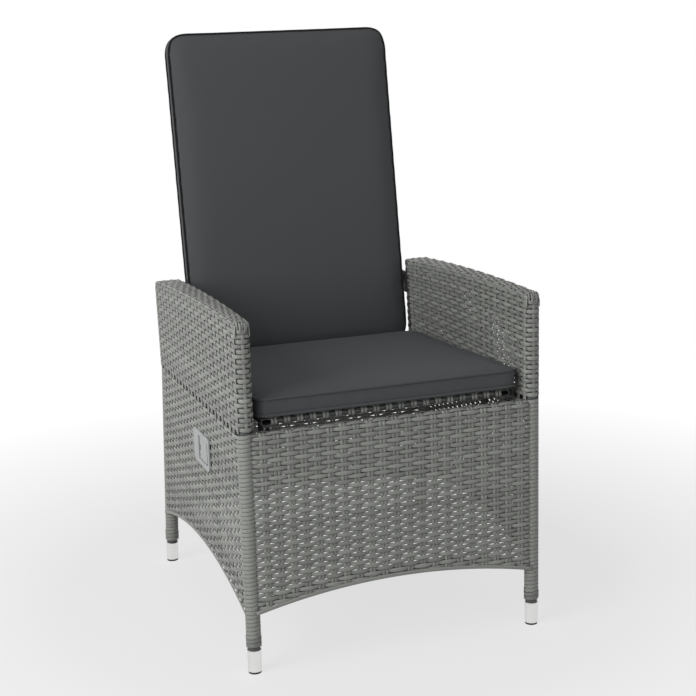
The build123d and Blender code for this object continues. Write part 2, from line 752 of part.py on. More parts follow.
def seat_hinges():
    """Bolts, nuts and bushes that join the seat rails to the feet of the back hoop."""
    tube_in, tube_out = back_tube_x - back_tube_r, back_tube_x + back_tube_r
    rail_in, rail_out = seat_rail_x - seat_rail_w / 2, seat_rail_x + seat_rail_w / 2
    head_h = 2 * hinge_bolt_r * head_h_share
    hex_r = 2 * hinge_bolt_r * hex_share
    nut_start = rail_out + washer_t
    bolt = x_bar(hinge_y, hinge_z, tube_in, nut_start + hinge_nut_h, hinge_bolt_r)
    bolt = bolt + hex_bar(hinge_y, hinge_z, tube_in - head_h, tube_in, hex_r)
    nut = hex_bar(hinge_y, hinge_z, nut_start, nut_start + hinge_nut_h, hex_r)
    nut = nut - x_bar(hinge_y, hinge_z, rail_out, nut_start + hinge_nut_h + overrun, hinge_bolt_r)
    bush_r = hinge_bolt_r + hinge_bush_wall
    bush = x_bar(hinge_y, hinge_z, rail_in, rail_out, bush_r)
    bush = bush + x_bar(hinge_y, hinge_z, tube_out + running_clearance, rail_in, bush_r + bush_wall)
    bush = bush - x_bar(hinge_y, hinge_z, tube_in, rail_out + overrun, hinge_bolt_r + running_clearance)
    save_both("hinge_bolts", bolt)
    save_both("hinge_nuts", nut)
    save_both("hinge_bushes", bush)


def seat_guides():
    """Slotted plates on the front rail, and the hangers, pins and bushes that run in them."""
    seat_at_guide = seat_point(guide_y)
    pin_z = seat_at_guide.Z - guide_drop
    first, last = radians(back_tilt), radians(back_tilt + recline_max)
    centre_y, centre_z = guide_y + pivot_r * sin(first), pin_z + pivot_r * cos(first)

    def at(angle, radius):
        return (centre_y - radius * sin(angle), centre_z - radius * cos(angle))

    def arc_slot(half_width, x_from, x_to):
        low, high = pivot_r - half_width, pivot_r + half_width
        middle, cap = (first + last) / 2, asin(half_width / pivot_r)
        outline = [ThreePointArc(at(first, low), at(middle, low), at(last, low)),
                   ThreePointArc(at(last, low), at(last + cap, pivot_r), at(last, high)),
                   ThreePointArc(at(last, high), at(middle, high), at(first, high)),
                   ThreePointArc(at(first, high), at(first - cap, pivot_r), at(first, low))]
        plane = Plane(origin=(x_from, 0, 0), x_dir=(0, 1, 0), z_dir=(1, 0, 0))
        return extrude(plane * make_face(outline), amount=x_to - x_from)

    x0, x1 = guide_plate_x, guide_plate_x + guide_plate_t
    slot_half = guide_bush_r + guide_slot_clearance
    front_y = wall_front_y + rail_inset
    end_y, end_z = at(last, pivot_r)
    plate = arc_slot(slot_half + guide_land, x0, x1)
    plate = plate + block(x0, x1, front_y, end_y, end_z - guide_depth, end_z + slot_half)
    rail = x_bar(front_y, apron_top_z - rail_inset, x0 - overrun, x1 + overrun, rail_r)
    save_both("guide_plates", biggest(plate - rail - arc_slot(slot_half, x0 - overrun, x1 + overrun)))

    hanger_x1 = guide_plate_x - hanger_gap
    hanger_x0 = hanger_x1 - guide_plate_t
    hanger = block(hanger_x0, hanger_x1, guide_y - hanger_w / 2, guide_y + hanger_w / 2, pin_z, seat_at_guide.Z)
    hanger = hanger + x_bar(guide_y, pin_z, hanger_x0, hanger_x1, hanger_w / 2)
    hanger = hanger - x_bar(guide_y, pin_z, hanger_x0 - overrun, hanger_x1 + overrun, guide_pin_r)
    save_both("guide_hangers", min((hanger - seat_side_core(0.0)).solids(), key=lambda solid: solid.center().Z))
    bush_x1 = x1 + running_clearance + washer_t
    pin = x_bar(guide_y, pin_z, hanger_x0 - washer_t, bush_x1 + washer_t, guide_pin_r)
    pin = pin + x_bar(guide_y, pin_z, hanger_x0 - 2 * washer_t, hanger_x0, guide_bush_r)
    pin = pin + x_bar(guide_y, pin_z, bush_x1, bush_x1 + washer_t, guide_bush_r)
    bush = x_bar(guide_y, pin_z, hanger_x1, bush_x1, guide_bush_r)
    save_both("guide_pins", pin)
    save_both("guide_bushes", bush - x_bar(guide_y, pin_z, hanger_x1 - overrun, bush_x1 + overrun, guide_pin_r))


def strut_pieces():
    """Lockable gas strut in the left side: head and rod on the frame, tube on the backrest."""
    front = Vector(strut_x, strut_front_y, strut_front_z)
    rear = Vector(strut_x, pivot_y - strut_arm * sin(radians(strut_arm_angle)),
                  back_pivot_z - strut_arm * cos(radians(strut_arm_angle)))
    axis = (rear - front).normalized()
    x0, x1 = strut_x - strut_eye_w / 2, strut_x + strut_eye_w / 2
    tube_front = front + axis * strut_rod_reach

    head = x_bar(front.Y, front.Z, x0, x1, strut_eye_r) + bar(front, front + axis * strut_head_l, strut_eye_w / 2)
    head = head + block(x0, x1, front.Y - strut_nose_l, front.Y, front.Z - strut_nose_h / 2,
                        front.Z + strut_nose_h / 2)
    slot_half = lever_t / 2 + lever_side_gap
    head = head - block(strut_x - slot_half, strut_x + slot_half, front.Y - strut_nose_l - overrun, lever_slot_y,
                        front.Z - 2 * strut_eye_r, front.Z + 2 * strut_eye_r)
    head = head - x_bar(front.Y, front.Z, x0 - overrun, x1 + overrun, strut_pin_r + running_clearance)
    save("strut_head", mirrored(head + x_bar(lever_pivot_y, front.Z, x0, x1, lever_pin_r)))

    lever_x0, lever_x1 = strut_x - lever_t / 2, strut_x + lever_t / 2
    lever = x_bar(lever_pivot_y, front.Z, lever_x0, lever_x1, lever_eye_r)
    lever = lever + block(lever_x0, lever_x1, lever_pivot_y - lever_w / 2, lever_pivot_y + lever_w / 2, front.Z,
                          lever_tip_z + lever_w / 2)
    bore = x_bar(lever_pivot_y, front.Z, x0, x1, lever_pin_r + running_clearance)
    save("release_lever", mirrored(lever - bore))

    bore_r = strut_tube_r - strut_tube_wall
    piston_start = tube_front + axis * strut_rod_reach
    piston_end = piston_start + axis * piston_l
    rod = bar(front + axis * strut_head_l, piston_end, strut_rod_r)
    save("strut_rod", mirrored(rod + bar(piston_start, piston_end, bore_r - piston_clearance)))

    tube_rear = rear - axis * (strut_eye_r - weld_seat)
    tube = bar(tube_front, tube_rear, strut_tube_r) + x_bar(rear.Y, rear.Z, x0, x1, strut_eye_r)
    tube = tube - bar(tube_front + axis * piston_l, tube_rear - axis * strut_eye_r, bore_r)
    tube = tube - bar(tube_front - axis * overrun, tube_front + axis * 2 * piston_l, strut_rod_r + running_clearance)
    tube = tube - x_bar(rear.Y, rear.Z, x0 - overrun, x1 + overrun, strut_pin_r + strut_open_clearance)
    save("strut_tube", mirrored(tube))

    ear_x0, ear_x1 = x1 + washer_t, x1 + washer_t + ear_t
    rail = rail_plane * Line((along(front_leg_y), side_rail_z), (along(rear_knee_y), side_rail_z))
    rail_x = rail_plane.from_local_coords((along(front.Y), side_rail_z, 0.0)).X
    low_z = side_rail_z - rail_r / 2
    bracket = block(ear_x0, ear_x1, front.Y - strut_eye_r, front.Y + strut_eye_r, low_z, front.Z)
    bracket = bracket + x_bar(front.Y, front.Z, ear_x0, ear_x1, strut_eye_r)
    bracket = bracket + block(ear_x0, rail_x, front.Y - strut_eye_r, front.Y + strut_eye_r, low_z, side_rail_z)
    bracket = bracket - swept(rail, rail_r) - x_bar(front.Y, front.Z, ear_x0 - overrun, ear_x1 + overrun, strut_pin_r)
    save("strut_bracket", mirrored(biggest(bracket)))
    pin = x_bar(front.Y, front.Z, x0 - washer_t, ear_x1, strut_pin_r)
    pin = pin + x_bar(front.Y, front.Z, x0 - washer_t, x0 - running_clearance, strut_pin_r + washer_t)
    save("strut_front_pin", mirrored(pin))

    lug_x0 = back_tube_x + back_tube_r - weld_seat
    lug_x1 = lug_x0 + ear_t
    foot = tilted(pivot_r - strut_arm * cos(radians(strut_arm_angle - back_tilt)), 0.0)
    reach_y, reach_z = rear.Y - foot.Y, rear.Z - foot.Z
    link = Plane(origin=(lug_x0, (rear.Y + foot.Y) / 2, (rear.Z + foot.Z) / 2), x_dir=(0, reach_y, reach_z),
                 z_dir=(1, 0, 0))
    lug = extrude(link * Rectangle(hypot(reach_y, reach_z), 2 * strut_eye_r), amount=ear_t)
    lug = lug + x_bar(rear.Y, rear.Z, lug_x0, lug_x1, strut_eye_r)
    lug = lug - bar(tilted(0.0, 0.0, back_tube_x), tilted(pivot_r, 0.0, back_tube_x), back_tube_r)
    lug = lug - x_bar(rear.Y, rear.Z, lug_x0 - overrun, lug_x1 + overrun, strut_pin_r)
    save("strut_lug", mirrored(biggest(lug)))
    pin = x_bar(rear.Y, rear.Z, lug_x0, x1 + washer_t, strut_pin_r)
    pin = pin + x_bar(rear.Y, rear.Z, x1 + running_clearance, x1 + washer_t, strut_eye_r - bush_wall)
    save("strut_rear_pin", mirrored(pin))


handle_u = along(handle_y)
window_u = handle_u - handle_l / 2 + handle_rim + window_l / 2


def cup_blank():
    """Outside of the handle cup and its flange, drawn in the right-hand wall."""
    cup = slab(outer_wall, Pos(window_u, handle_z) * Rectangle(window_l + 2 * cup_wall, window_h + 2 * cup_wall),
               cup_depth)
    flange = slab(outer_wall, Pos(handle_u, handle_z) * Rectangle(handle_l - 2 * handle_rim, handle_h - handle_rim),
                  weave_t)
    return cup, flange


def in_wall(u, height, depth):
    """Point at a wall distance, height and depth behind the outer face of the wall."""
    return outer_wall.from_local_coords((u, height, -depth))


def handle_pieces():
    """Handle plate, cup, paddle with its pin and spring, screws and mounting bar."""
    plate = Pos(handle_u, handle_z) * RectangleRounded(handle_l, handle_h, handle_corner)
    hole = Pos(window_u, handle_z) * RectangleRounded(window_l, window_h, window_corner)
    save("handle_plate", mirrored(slab(outer_wall.offset(handle_t), plate - hole, handle_t)))

    floor_depth = cup_depth - cup_wall
    screws = []
    for offset in (-screw_spread, screw_spread):
        shank = bar(in_wall(handle_u, handle_z + offset, floor_depth),
                    in_wall(handle_u, handle_z + offset, cup_depth + handle_bar_t), screw_r)
        head = bar(in_wall(handle_u, handle_z + offset, floor_depth - screw_head_h),
                   in_wall(handle_u, handle_z + offset, floor_depth), screw_head_r)
        screws.append(shank + head)

    barrel_u = window_u + window_l / 2 - paddle_barrel_r - paddle_gap
    barrel_depth = paddle_barrel_r - paddle_rise
    pin_reach = window_h / 2 + cup_wall
    pin = bar(in_wall(barrel_u, handle_z - pin_reach, barrel_depth),
              in_wall(barrel_u, handle_z + pin_reach, barrel_depth), paddle_pin_r)
    cup_outer, flange = cup_blank()
    hollow = slab(outer_wall.offset(overrun), Pos(window_u, handle_z) * Rectangle(window_l, window_h),
                  floor_depth + overrun)
    cable_at = cable_start()
    wire_hole = bar(cable_at - Vector(0, 0, overrun), cable_at + Vector(0, 0, overrun), wire_r)
    cup = cup_outer + flange - hollow - pin - wire_hole
    for screw in screws:
        cup = cup - screw
    save("handle_cup", mirrored(cup))
    save("paddle_pin", mirrored(pin))
    save("handle_screws", *[mirrored(screw) for screw in screws])

    paddle_h = window_h - 2 * paddle_gap
    paddle_u = window_u - window_l / 2 + paddle_finger_gap
    face = outer_wall.offset(paddle_rise)
    leaf = slab(face, Pos((paddle_u + barrel_u) / 2, handle_z) * Rectangle(barrel_u - paddle_u, paddle_h), paddle_t)
    lip = slab(face, Pos(paddle_u + paddle_t / 2, handle_z) * Rectangle(paddle_t, paddle_h), paddle_lip)
    barrel = bar(in_wall(barrel_u, handle_z - paddle_h / 2, barrel_depth),
                 in_wall(barrel_u, handle_z + paddle_h / 2, barrel_depth), paddle_barrel_r)
    bore = bar(in_wall(barrel_u, handle_z - window_h, barrel_depth),
               in_wall(barrel_u, handle_z + window_h, barrel_depth), paddle_pin_r + running_clearance)
    spring_h = window_h * spring_share
    spring_gap = slab(outer_wall.offset(overrun), Pos(barrel_u, handle_z) * Rectangle(3 * paddle_barrel_r, spring_h),
                      3 * overrun)
    save("release_paddle", mirrored(leaf + lip + barrel - bore - spring_gap))

    coil_h = spring_h - 4 * spring_wire_r
    helix = Helix(pitch=coil_h / spring_turns, height=coil_h, radius=paddle_pin_r + spring_room + spring_wire_r)
    coil = Plane(origin=in_wall(barrel_u, handle_z - coil_h / 2, barrel_depth), z_dir=(0, 0, 1)) * helix
    save("return_spring", mirrored(swept(coil, spring_wire_r)))

    bar_low, bar_high = arch_end_z + side_arch_rise, side_rail_z + rail_r / 2
    strip = slab(outer_wall.offset(-cup_depth), Pos(handle_u, (bar_low + bar_high) / 2) * Rectangle(
        handle_bar_w, bar_high - bar_low), handle_bar_t)
    for screw in screws:
        strip = strip - screw
    save("handle_bar", mirrored(strip))


def cable_start():
    """Place on the cup's top wall where the release cable begins."""
    return in_wall(window_u, handle_z + window_h / 2 + cup_wall, cup_depth / 2)


def cable_piece():
    """Release cable from the cup up past the side rail to the lever on the strut's head."""
    start = cable_start()
    end = Vector(strut_x, cable_end_y, lever_tip_z)
    points = [start, start + Vector(0, 0, cable_lead), Vector(cable_x, cable_low_y, cable_low_z),
              Vector(cable_x, cable_high_y, cable_high_z), Vector(strut_x, cable_turn_y, lever_tip_z), end]
    radii = []
    for a, b, c in zip(points, points[1:], points[2:]):
        turn = (b - a).get_angle(c - b)
        shorter = min((b - a).length, (c - b).length)
        radii.append(cable_bend_share * shorter / tan(radians(turn / 2)))
    print("cable radii", [round(r, 1) for r in radii])
    path = FilletPolyline(*points, radius=radii)
    cable = swept(path, cable_r)
    print("cable volume", round(cable.volume), "section times length", round(pi * cable_r ** 2 * path.length))
    low_ferrule = bar(start, start + Vector(0, 0, ferrule_l), ferrule_r)
    high_ferrule = bar(end - Vector(0, ferrule_l, 0), end, ferrule_r)
    wire = bar(end, end + Vector(0, wire_l, 0), wire_r)
    save("release_cable", mirrored(cable + low_ferrule + high_ferrule + wire))


os.makedirs("parts", exist_ok=True)
leg_pieces()
feet()
bracket_right = pivot_bracket()
weave_pieces(frame_rails(), bracket_right)
backrest_frame()
seat_frame()
seat_cushion()
back_cushion()
cushion_strap()
back_pivots(bracket_right)
seat_hinges()
seat_guides()
strut_pieces()
handle_pieces()
cable_piece()
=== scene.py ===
"""Looks of a reclining woven garden armchair, built round its CAD frame."""
import json
import math

import bpy
import numpy as np
from mathutils import Matrix, Vector
from mathutils.bvhtree import BVHTree

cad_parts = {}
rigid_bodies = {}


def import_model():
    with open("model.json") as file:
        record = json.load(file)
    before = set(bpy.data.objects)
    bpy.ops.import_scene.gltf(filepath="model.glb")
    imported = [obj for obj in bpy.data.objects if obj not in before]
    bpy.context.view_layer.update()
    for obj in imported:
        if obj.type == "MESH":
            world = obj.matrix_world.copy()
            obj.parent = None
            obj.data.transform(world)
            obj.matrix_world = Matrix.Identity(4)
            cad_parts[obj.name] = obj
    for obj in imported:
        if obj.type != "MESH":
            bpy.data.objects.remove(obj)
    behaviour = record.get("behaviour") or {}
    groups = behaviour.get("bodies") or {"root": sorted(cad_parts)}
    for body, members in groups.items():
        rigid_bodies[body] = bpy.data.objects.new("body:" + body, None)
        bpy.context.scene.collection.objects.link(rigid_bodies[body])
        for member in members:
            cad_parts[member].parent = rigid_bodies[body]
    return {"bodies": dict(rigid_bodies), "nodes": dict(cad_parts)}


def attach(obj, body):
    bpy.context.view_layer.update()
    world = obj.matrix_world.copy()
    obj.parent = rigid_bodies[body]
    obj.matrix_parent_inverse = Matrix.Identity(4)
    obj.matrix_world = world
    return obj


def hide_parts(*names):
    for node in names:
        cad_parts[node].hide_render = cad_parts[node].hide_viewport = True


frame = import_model()

bl_info = {
    "name": "Woven garden armchair",
    "version": (1, 0, 0),
    "blender": (4, 5, 0),
    "location": "3D View > Sidebar > Chair",
    "description": "Strand weave, piped cushions and finishes for a reclining garden armchair",
    "category": "Object",
}


# ---------------------------------------------------------------- settings

def length(name, default, description):
    """One size setting in metres."""
    return bpy.props.FloatProperty(name=name, description=description, default=default, precision=5,
                                   subtype="DISTANCE", unit="LENGTH")


def share(name, default, description):
    """One plain number setting."""
    return bpy.props.FloatProperty(name=name, description=description, default=default, precision=4)


def count(name, default, description):
    """One whole number setting."""
    return bpy.props.IntProperty(name=name, description=description, default=default, min=1)


def colour(name, default, description):
    """One colour setting, linear red, green and blue."""
    return bpy.props.FloatVectorProperty(name=name, description=description, default=default, size=3,
                                         subtype="COLOR", min=0.0, max=1.0)


class ChairSizes(bpy.types.PropertyGroup):
    """Lines of the chair that the strands and cushions follow."""
    leg_front_y: length("Front leg depth", -0.339, "Depth of the front legs' axes")
    leg_foot_y: length("Rear foot depth", 0.258, "Depth of the rear legs' axes at the floor")
    leg_knee_y: length("Rear knee depth", 0.198, "Depth of the rear legs' axes at the bend")
    leg_knee_z: length("Rear knee height", 0.430, "Height of the rear legs' bend")
    leg_top_y: length("Rear leg top depth", 0.212, "Depth of the rear legs' axes under the arms")
    leg_r: length("Leg radius", 0.011, "Radius of the leg tubes")
    weave_t: length("Weave thickness", 0.0025, "Thickness of a woven wall")
    rail_r: length("Rail radius", 0.008, "Radius of the rails that the walls turn over")
    wall_front: length("Wall half width, front", 0.286, "Half width of the outer walls at the front")
    wall_rear: length("Wall half width, rear", 0.300, "Half width of the outer walls at the rear")
    inner_front: length("Inner half width, front", 0.257, "Half width between the inner walls at the front")
    inner_rear: length("Inner half width, rear", 0.245, "Half width between the inner walls at the rear")
    arm_front_z: length("Arm height, front", 0.643, "Height of the arms at the front")
    arm_mid_z: length("Arm height, middle", 0.636, "Height of the arms half way")
    arm_rear_z: length("Arm height, rear", 0.617, "Height of the arms at the rear")
    arm_edge: length("Arm edge radius", 0.009, "Radius of the arms' long edges")
    arm_nose: length("Arm nose radius", 0.006, "Radius over which the strands of the arm tops turn down")
    arch_z: length("Arch end height", 0.112, "Height of the arches at the legs")
    arch_front: length("Front arch rise", 0.032, "Rise of the front arch")
    arch_side: length("Side arch rise", 0.046, "Rise of the side arches")
    arch_rear: length("Rear arch rise", 0.020, "Rise of the rear arch")
    apron_z: length("Apron height", 0.444, "Height of the front apron's top")
    skirt_z: length("Rear skirt height", 0.405, "Height of the rear skirt's top along its slope")
    inner_z: length("Inner wall foot", 0.419, "Height of the inner walls' lower edge")
    foot_z: length("Wrap start", 0.046, "Height where the leg wraps begin")
    hinge_y: length("Seat hinge depth", 0.2245, "Depth of the seat hinge")
    hinge_z: length("Seat hinge height", 0.425, "Height of the seat hinge")
    back_half: length("Back tube half width", 0.205, "Half distance of the back hoop's side tubes")
    back_r: length("Back tube radius", 0.010, "Radius of the back hoop's tube")
    back_top: length("Back hoop reach", 0.662, "Reach of the back hoop's top tube")
    back_corner: length("Back hoop corner", 0.045, "Bend radius of the back hoop")
    back_low: length("Back weave start", 0.018, "Reach where the woven back begins")
    back_wrap: length("Back wrap start", 0.176, "Reach where the strands begin to go round the side tubes")
    seat_half: length("Seat half width", 0.238, "Half width of the seat frame")
    seat_front: length("Seat frame front", -0.321, "Depth of the seat frame's front")
    seat_rear: length("Seat weave rear", 0.204, "Depth of the woven seat's rear edge")
    seat_rail_h: length("Seat rail height", 0.012, "Height of the seat rails")
    handle_y: length("Handle depth", -0.102, "Depth of the handle plate's middle")
    handle_z: length("Handle height", 0.352, "Height of the handle plate's middle")
    handle_l: length("Handle length", 0.105, "Length of the handle plate")
    handle_h: length("Handle width", 0.064, "Height of the handle plate")
    soft_gap: length("Soft gap", 0.0004, "Clearance between weave and cushions")
    cushion_half: length("Back cushion half width", 0.2385, "Half width of the back cushion")
    cushion_t: length("Back cushion thickness", 0.050, "Thickness of the back cushion")
    cushion_low: length("Back cushion start", 0.012, "Reach of the back cushion's lower edge")
    cushion_high: length("Back cushion end", 0.6858, "Reach of the back cushion's top edge")
    seam_inset: length("Seam inset", 0.0045, "How far the cushions' seams stay inside their outline")
    seat_pad_t: length("Seat cushion thickness", 0.040, "Thickness of the seat cushion")
    seat_pad_front: length("Seat cushion front", -0.343, "Depth of the seat cushion's front edge")
    pad_side_gap: length("Seat cushion side gap", 0.0026, "Gap between the seat cushion and the inner walls")
    pad_rear_gap: length("Seat cushion rear gap", 0.0015, "Gap between the seat and back cushions")
    lean_deg: share("Back tilt", 9.3, "Tilt of the upright backrest in degrees")
    slope_deg: share("Seat slope", 3.0, "Slope of the seat in degrees")


class ChairStrands(bpy.types.PropertyGroup):
    """How the strands are woven."""
    pitch: length("Row pitch", 0.0082, "Distance between neighbouring rows")
    weft_w: length("Row strand width", 0.0074, "Width of the strands that run in rows")
    weft_t: length("Row strand thickness", 0.0012, "Thickness of the strands that run in rows")
    weft_lift: length("Row strand lift", 0.0014, "How far a row strand rises and dips")
    warp_w: length("Upright strand width", 0.0058, "Width of each upright strand")
    warp_t: length("Upright strand thickness", 0.0011, "Thickness of each upright strand")
    warp_lift: length("Upright strand lift", 0.0004, "How far an upright strand rises and dips")
    pair_gap: length("Pair distance", 0.0064, "Distance between the two upright strands of a pair")
    wrap_w: length("Wrap strand width", 0.0078, "Width of the strands wound round the legs")
    hem_w: length("Hem width", 0.0072, "Width of the strand that binds an arched edge")
    collar_h: length("Collar height", 0.019, "Height of the second layer of strand over each sleeve")
    side_count: count("Side spaces", 23, "Spaces between upright pairs along a side")
    front_count: count("Front spaces", 22, "Spaces between upright pairs across the front")
    back_count: count("Back spaces", 22, "Spaces between upright pairs round the back")
    seat_count: count("Seat spaces", 20, "Spaces between upright pairs across the seat")
    cap_rows: count("Arm rows", 7, "Rows over the top of an arm")
    samples: count("Steps", 8, "Steps of a strand from one upright pair to the next")


class ChairColours(bpy.types.PropertyGroup):
    """Colours of the finishes."""
    strand_dark: colour("Strand, dark", (0.175, 0.180, 0.168), "Darkest strands")
    strand_light: colour("Strand, light", (0.385, 0.390, 0.375), "Lightest strands")
    fabric: colour("Fabric", (0.052, 0.056, 0.064), "Cushion fabric")
    piping: colour("Piping", (0.006, 0.006, 0.007), "Piping of the back cushion")
    tube: colour("Tube", (0.075, 0.078, 0.078), "Powder coated tubes")
    bright: colour("Bright metal", (0.90, 0.90, 0.89), "Foot sleeves")
    dark: colour("Dark plastic", (0.030, 0.030, 0.031), "Glides, bushes and cup")
    handle: colour("Handle", (0.42, 0.43, 0.43), "Handle plate and paddle")
    floor: colour("Floor", (0.55, 0.55, 0.55), "Studio floor")


# Small measures in metres, and shares, that the settings leave alone.
LAY_IN = 0.0003                 # a wall's strands lie this far inside its face
HEM_COVER = 0.004               # edge of an arched opening that its hem covers
HEM_RISE, HEM_TUCK = 0.45, 0.2  # hem's middle, and the ends of the uprights, over the arch in hem widths
PLATE_LAP = (0.006, 0.005)      # how far the handle plate covers the strands, along and up
APRON_GAP = 0.004               # between an apron and the legs beside it
TUCK = 0.28                     # spaces over which the end of a row goes in
LIP_START, LIP_R, LIP_END = 0.004, 0.006, 0.012  # how the seat's strands turn down in front
HEM_STEPS, WRAP_STEPS = 64, 18  # steps along a hem, and round a leg
WRAP_T, WRAP_LAP, COLLAR_LIFT = 0.001, 0.985, 0.0006  # thickness, share of a width per turn, second layer
PAD_STEPS, CORNER_STEPS = 110, 9  # points along a side and round a corner of a cushion
PAD_RIM, PAD_CORE = 0.12, 0.985   # share of a face that is its rim, and that its rings are drawn in
BAND_BOW = 0.0016                 # how far a cushion's side bows out
PUCKER = (0.022, 0.075, 0.0009)   # shortest and longest wave and height of the puckers along it
CLOTH_CELL, CLOTH_PRESSURE, CLOTH_CAP, CLOTH_FRAMES = 0.006, 4.0, 0.0035, 20
CORD_SINK = 0.55                  # share of the piping's radius that sinks into the cushion
LIGHTS = (("key_left", (-2.7, -1.2, 1.7), (0, 0, 0.5), 2.0, 66),
          ("fill_front", (0.9, -3.0, 1.5), (0, 0, 0.5), 1.8, 12),
          ("top_soft", (-0.2, 0.2, 3.2), (0, 0, 0.4), 2.2, 8))  # name, place, target, size, watts
SURROUND, FLOOR_HALF = 0.16, 14   # light from the surround, and half the floor's side
LENS, SENSOR = 76.9, 36.0         # camera, in millimetres
AZIMUTH, ELEVATION, ROLL = -19.0, 13.4, -1.64
TARGET, DISTANCE = (0.0205, -0.047, 0.5013), 2.903


# ---------------------------------------------------------------- lines of the chair

def unit(v):
    """Vectors of length one."""
    return v / np.linalg.norm(v, axis=-1, keepdims=True)


def points(x, y, z):
    """Points or vectors from three coordinate arrays of any matching shapes."""
    return np.stack(np.broadcast_arrays(x, y, z), axis=-1).astype(float)


class Lines:
    """Heights, widths and slopes of the chair as functions, read from the settings."""

    def __init__(self, scene):
        self.s = scene.chair_sizes
        self.w = scene.chair_strands
        s = self.s
        self.inset = s.weave_t / 2 + LAY_IN
        self.wrap_r = s.leg_r + s.weave_t
        self.y0 = s.leg_front_y - self.wrap_r
        self.y1 = s.leg_top_y + self.wrap_r
        self.crown = circle(self.y0, s.arm_front_z, (self.y0 + self.y1) / 2, s.arm_mid_z, self.y1, s.arm_rear_z)
        self.side_rows = round((s.arm_mid_z - s.arm_edge - s.apron_z) / self.w.pitch)
        self.lean = math.radians(s.lean_deg)
        self.slope = math.radians(s.slope_deg)
        self.leg_lean = math.atan2(s.leg_foot_y - s.leg_knee_y, s.leg_knee_z)

    def wall_x(self, y):
        """Half width of the outer wall at a depth."""
        s = self.s
        return s.wall_front + (s.wall_rear - s.wall_front) * (y - self.y0) / (self.y1 - self.y0)

    def inner_x(self, y):
        """Half width of the inner wall at a depth."""
        s = self.s
        return s.inner_front + (s.inner_rear - s.inner_front) * (y - self.y0) / (self.y1 - self.y0)

    def arm_z(self, y):
        """Height of the arm's crown at a depth."""
        cy, cz, r = self.crown
        return cz + np.sqrt(r * r - (y - cy) ** 2)

    def rear_y(self, z):
        """Depth of the rear leg's axis at a height."""
        s = self.s
        low = s.leg_foot_y + (s.leg_knee_y - s.leg_foot_y) * z / s.leg_knee_z
        high = s.leg_knee_y + (s.leg_top_y - s.leg_knee_y) * (z - s.leg_knee_z) / (s.arm_rear_z - s.leg_knee_z)
        return np.where(z < s.leg_knee_z, low, high)

    def row_z(self, y, v):
        """Height of a row at a depth: level below the apron's top, following the arm's crown above it."""
        s = self.s
        top = self.arm_z(y) - s.arm_edge
        return np.where(v < 0, s.apron_z + v * self.w.pitch, s.apron_z + (top - s.apron_z) * v / self.side_rows)

    def side_yz(self, t, v):
        """Depth and height of a row at a share t of the way from the front leg to the rear leg."""
        s = self.s
        y = s.leg_front_y + (s.leg_top_y - s.leg_front_y) * t
        for _ in range(2):
            z = self.row_z(y, v)
            y = s.leg_front_y + (self.rear_y(z) - s.leg_front_y) * t
        return y, self.row_z(y, v)

    def tilted(self, x, reach, forward):
        """Points on the backrest: reach up its slope from the seat hinge, forward from its tubes."""
        s, c = math.sin(self.lean), math.cos(self.lean)
        return points(x, self.s.hinge_y + reach * s - forward * c, self.s.hinge_z + reach * c + forward * s)

    def seated(self, x, along, rise):
        """Points over the seat: along it to the rear from the hinge, rise square to it."""
        s, c = math.sin(self.slope), math.cos(self.slope)
        return points(x, self.s.hinge_y + along * c + rise * s, self.s.hinge_z - along * s + rise * c)


def circle(x0, y0, x1, y1, x2, y2):
    """Centre and radius of the circle through three points, the centre below them."""
    a = np.array([[x1 - x0, y1 - y0], [x2 - x0, y2 - y0]], float)
    b = np.array([(x1 ** 2 - x0 ** 2 + y1 ** 2 - y0 ** 2) / 2, (x2 ** 2 - x0 ** 2 + y2 ** 2 - y0 ** 2) / 2])
    cx, cy = np.linalg.solve(a, b)
    return cx, cy, math.hypot(x0 - cx, y0 - cy)


def arch_height(d, half, rise):
    """Height of a circular arch over its ends, at a distance d from its middle."""
    r = (half * half + rise * rise) / (2 * rise)
    return rise - r + np.sqrt(np.maximum(r * r - d * d, 0))


def arch_gap(height, half, rise):
    """Half width of the opening of a circular arch at a height over its ends."""
    r = (half * half + rise * rise) / (2 * rise)
    return np.sqrt(np.maximum(r * r - (height - rise + r) ** 2, 0)) * (height < rise)


def wave(phase):
    """Rise and fall of a strand, from 1 over to -1 under, flattened where it crosses."""
    return np.tanh(1.6 * np.cos(np.pi * phase)) / math.tanh(1.6)


# ---------------------------------------------------------------- meshes

def new_object(name, mesh):
    """Object of a mesh, in the scene."""
    piece = bpy.data.objects.new(name, mesh)
    bpy.context.scene.collection.objects.link(piece)
    return piece


def mesh_from(name, vertices, faces_by_size, strand=None):
    """Smooth mesh from a vertex array and face arrays, one array for each number of corners."""
    mesh = bpy.data.meshes.new(name)
    corners = np.concatenate([f.ravel() for f in faces_by_size]).astype(np.int32)
    sizes = np.concatenate([np.full(len(f), f.shape[1]) for f in faces_by_size])
    mesh.vertices.add(len(vertices))
    mesh.vertices.foreach_set("co", vertices.astype(np.float32).ravel())
    mesh.loops.add(len(corners))
    mesh.loops.foreach_set("vertex_index", corners)
    mesh.polygons.add(len(sizes))
    mesh.polygons.foreach_set("loop_start", np.concatenate(([0], np.cumsum(sizes)[:-1])).astype(np.int32))
    mesh.polygons.foreach_set("use_smooth", np.ones(len(sizes), bool))
    if strand is not None:
        layer = mesh.attributes.new("strand", "FLOAT_VECTOR", "POINT")
        layer.data.foreach_set("vector", strand.astype(np.float32).ravel())
    mesh.update(calc_edges=True)
    mesh.validate()
    return mesh


RING_ACROSS = np.array([-1.0, -0.62, 0.62, 1.0, 0.62, -0.62])
RING_OUT = np.array([0.0, 1.0, 1.0, 0.0, -1.0, -1.0])


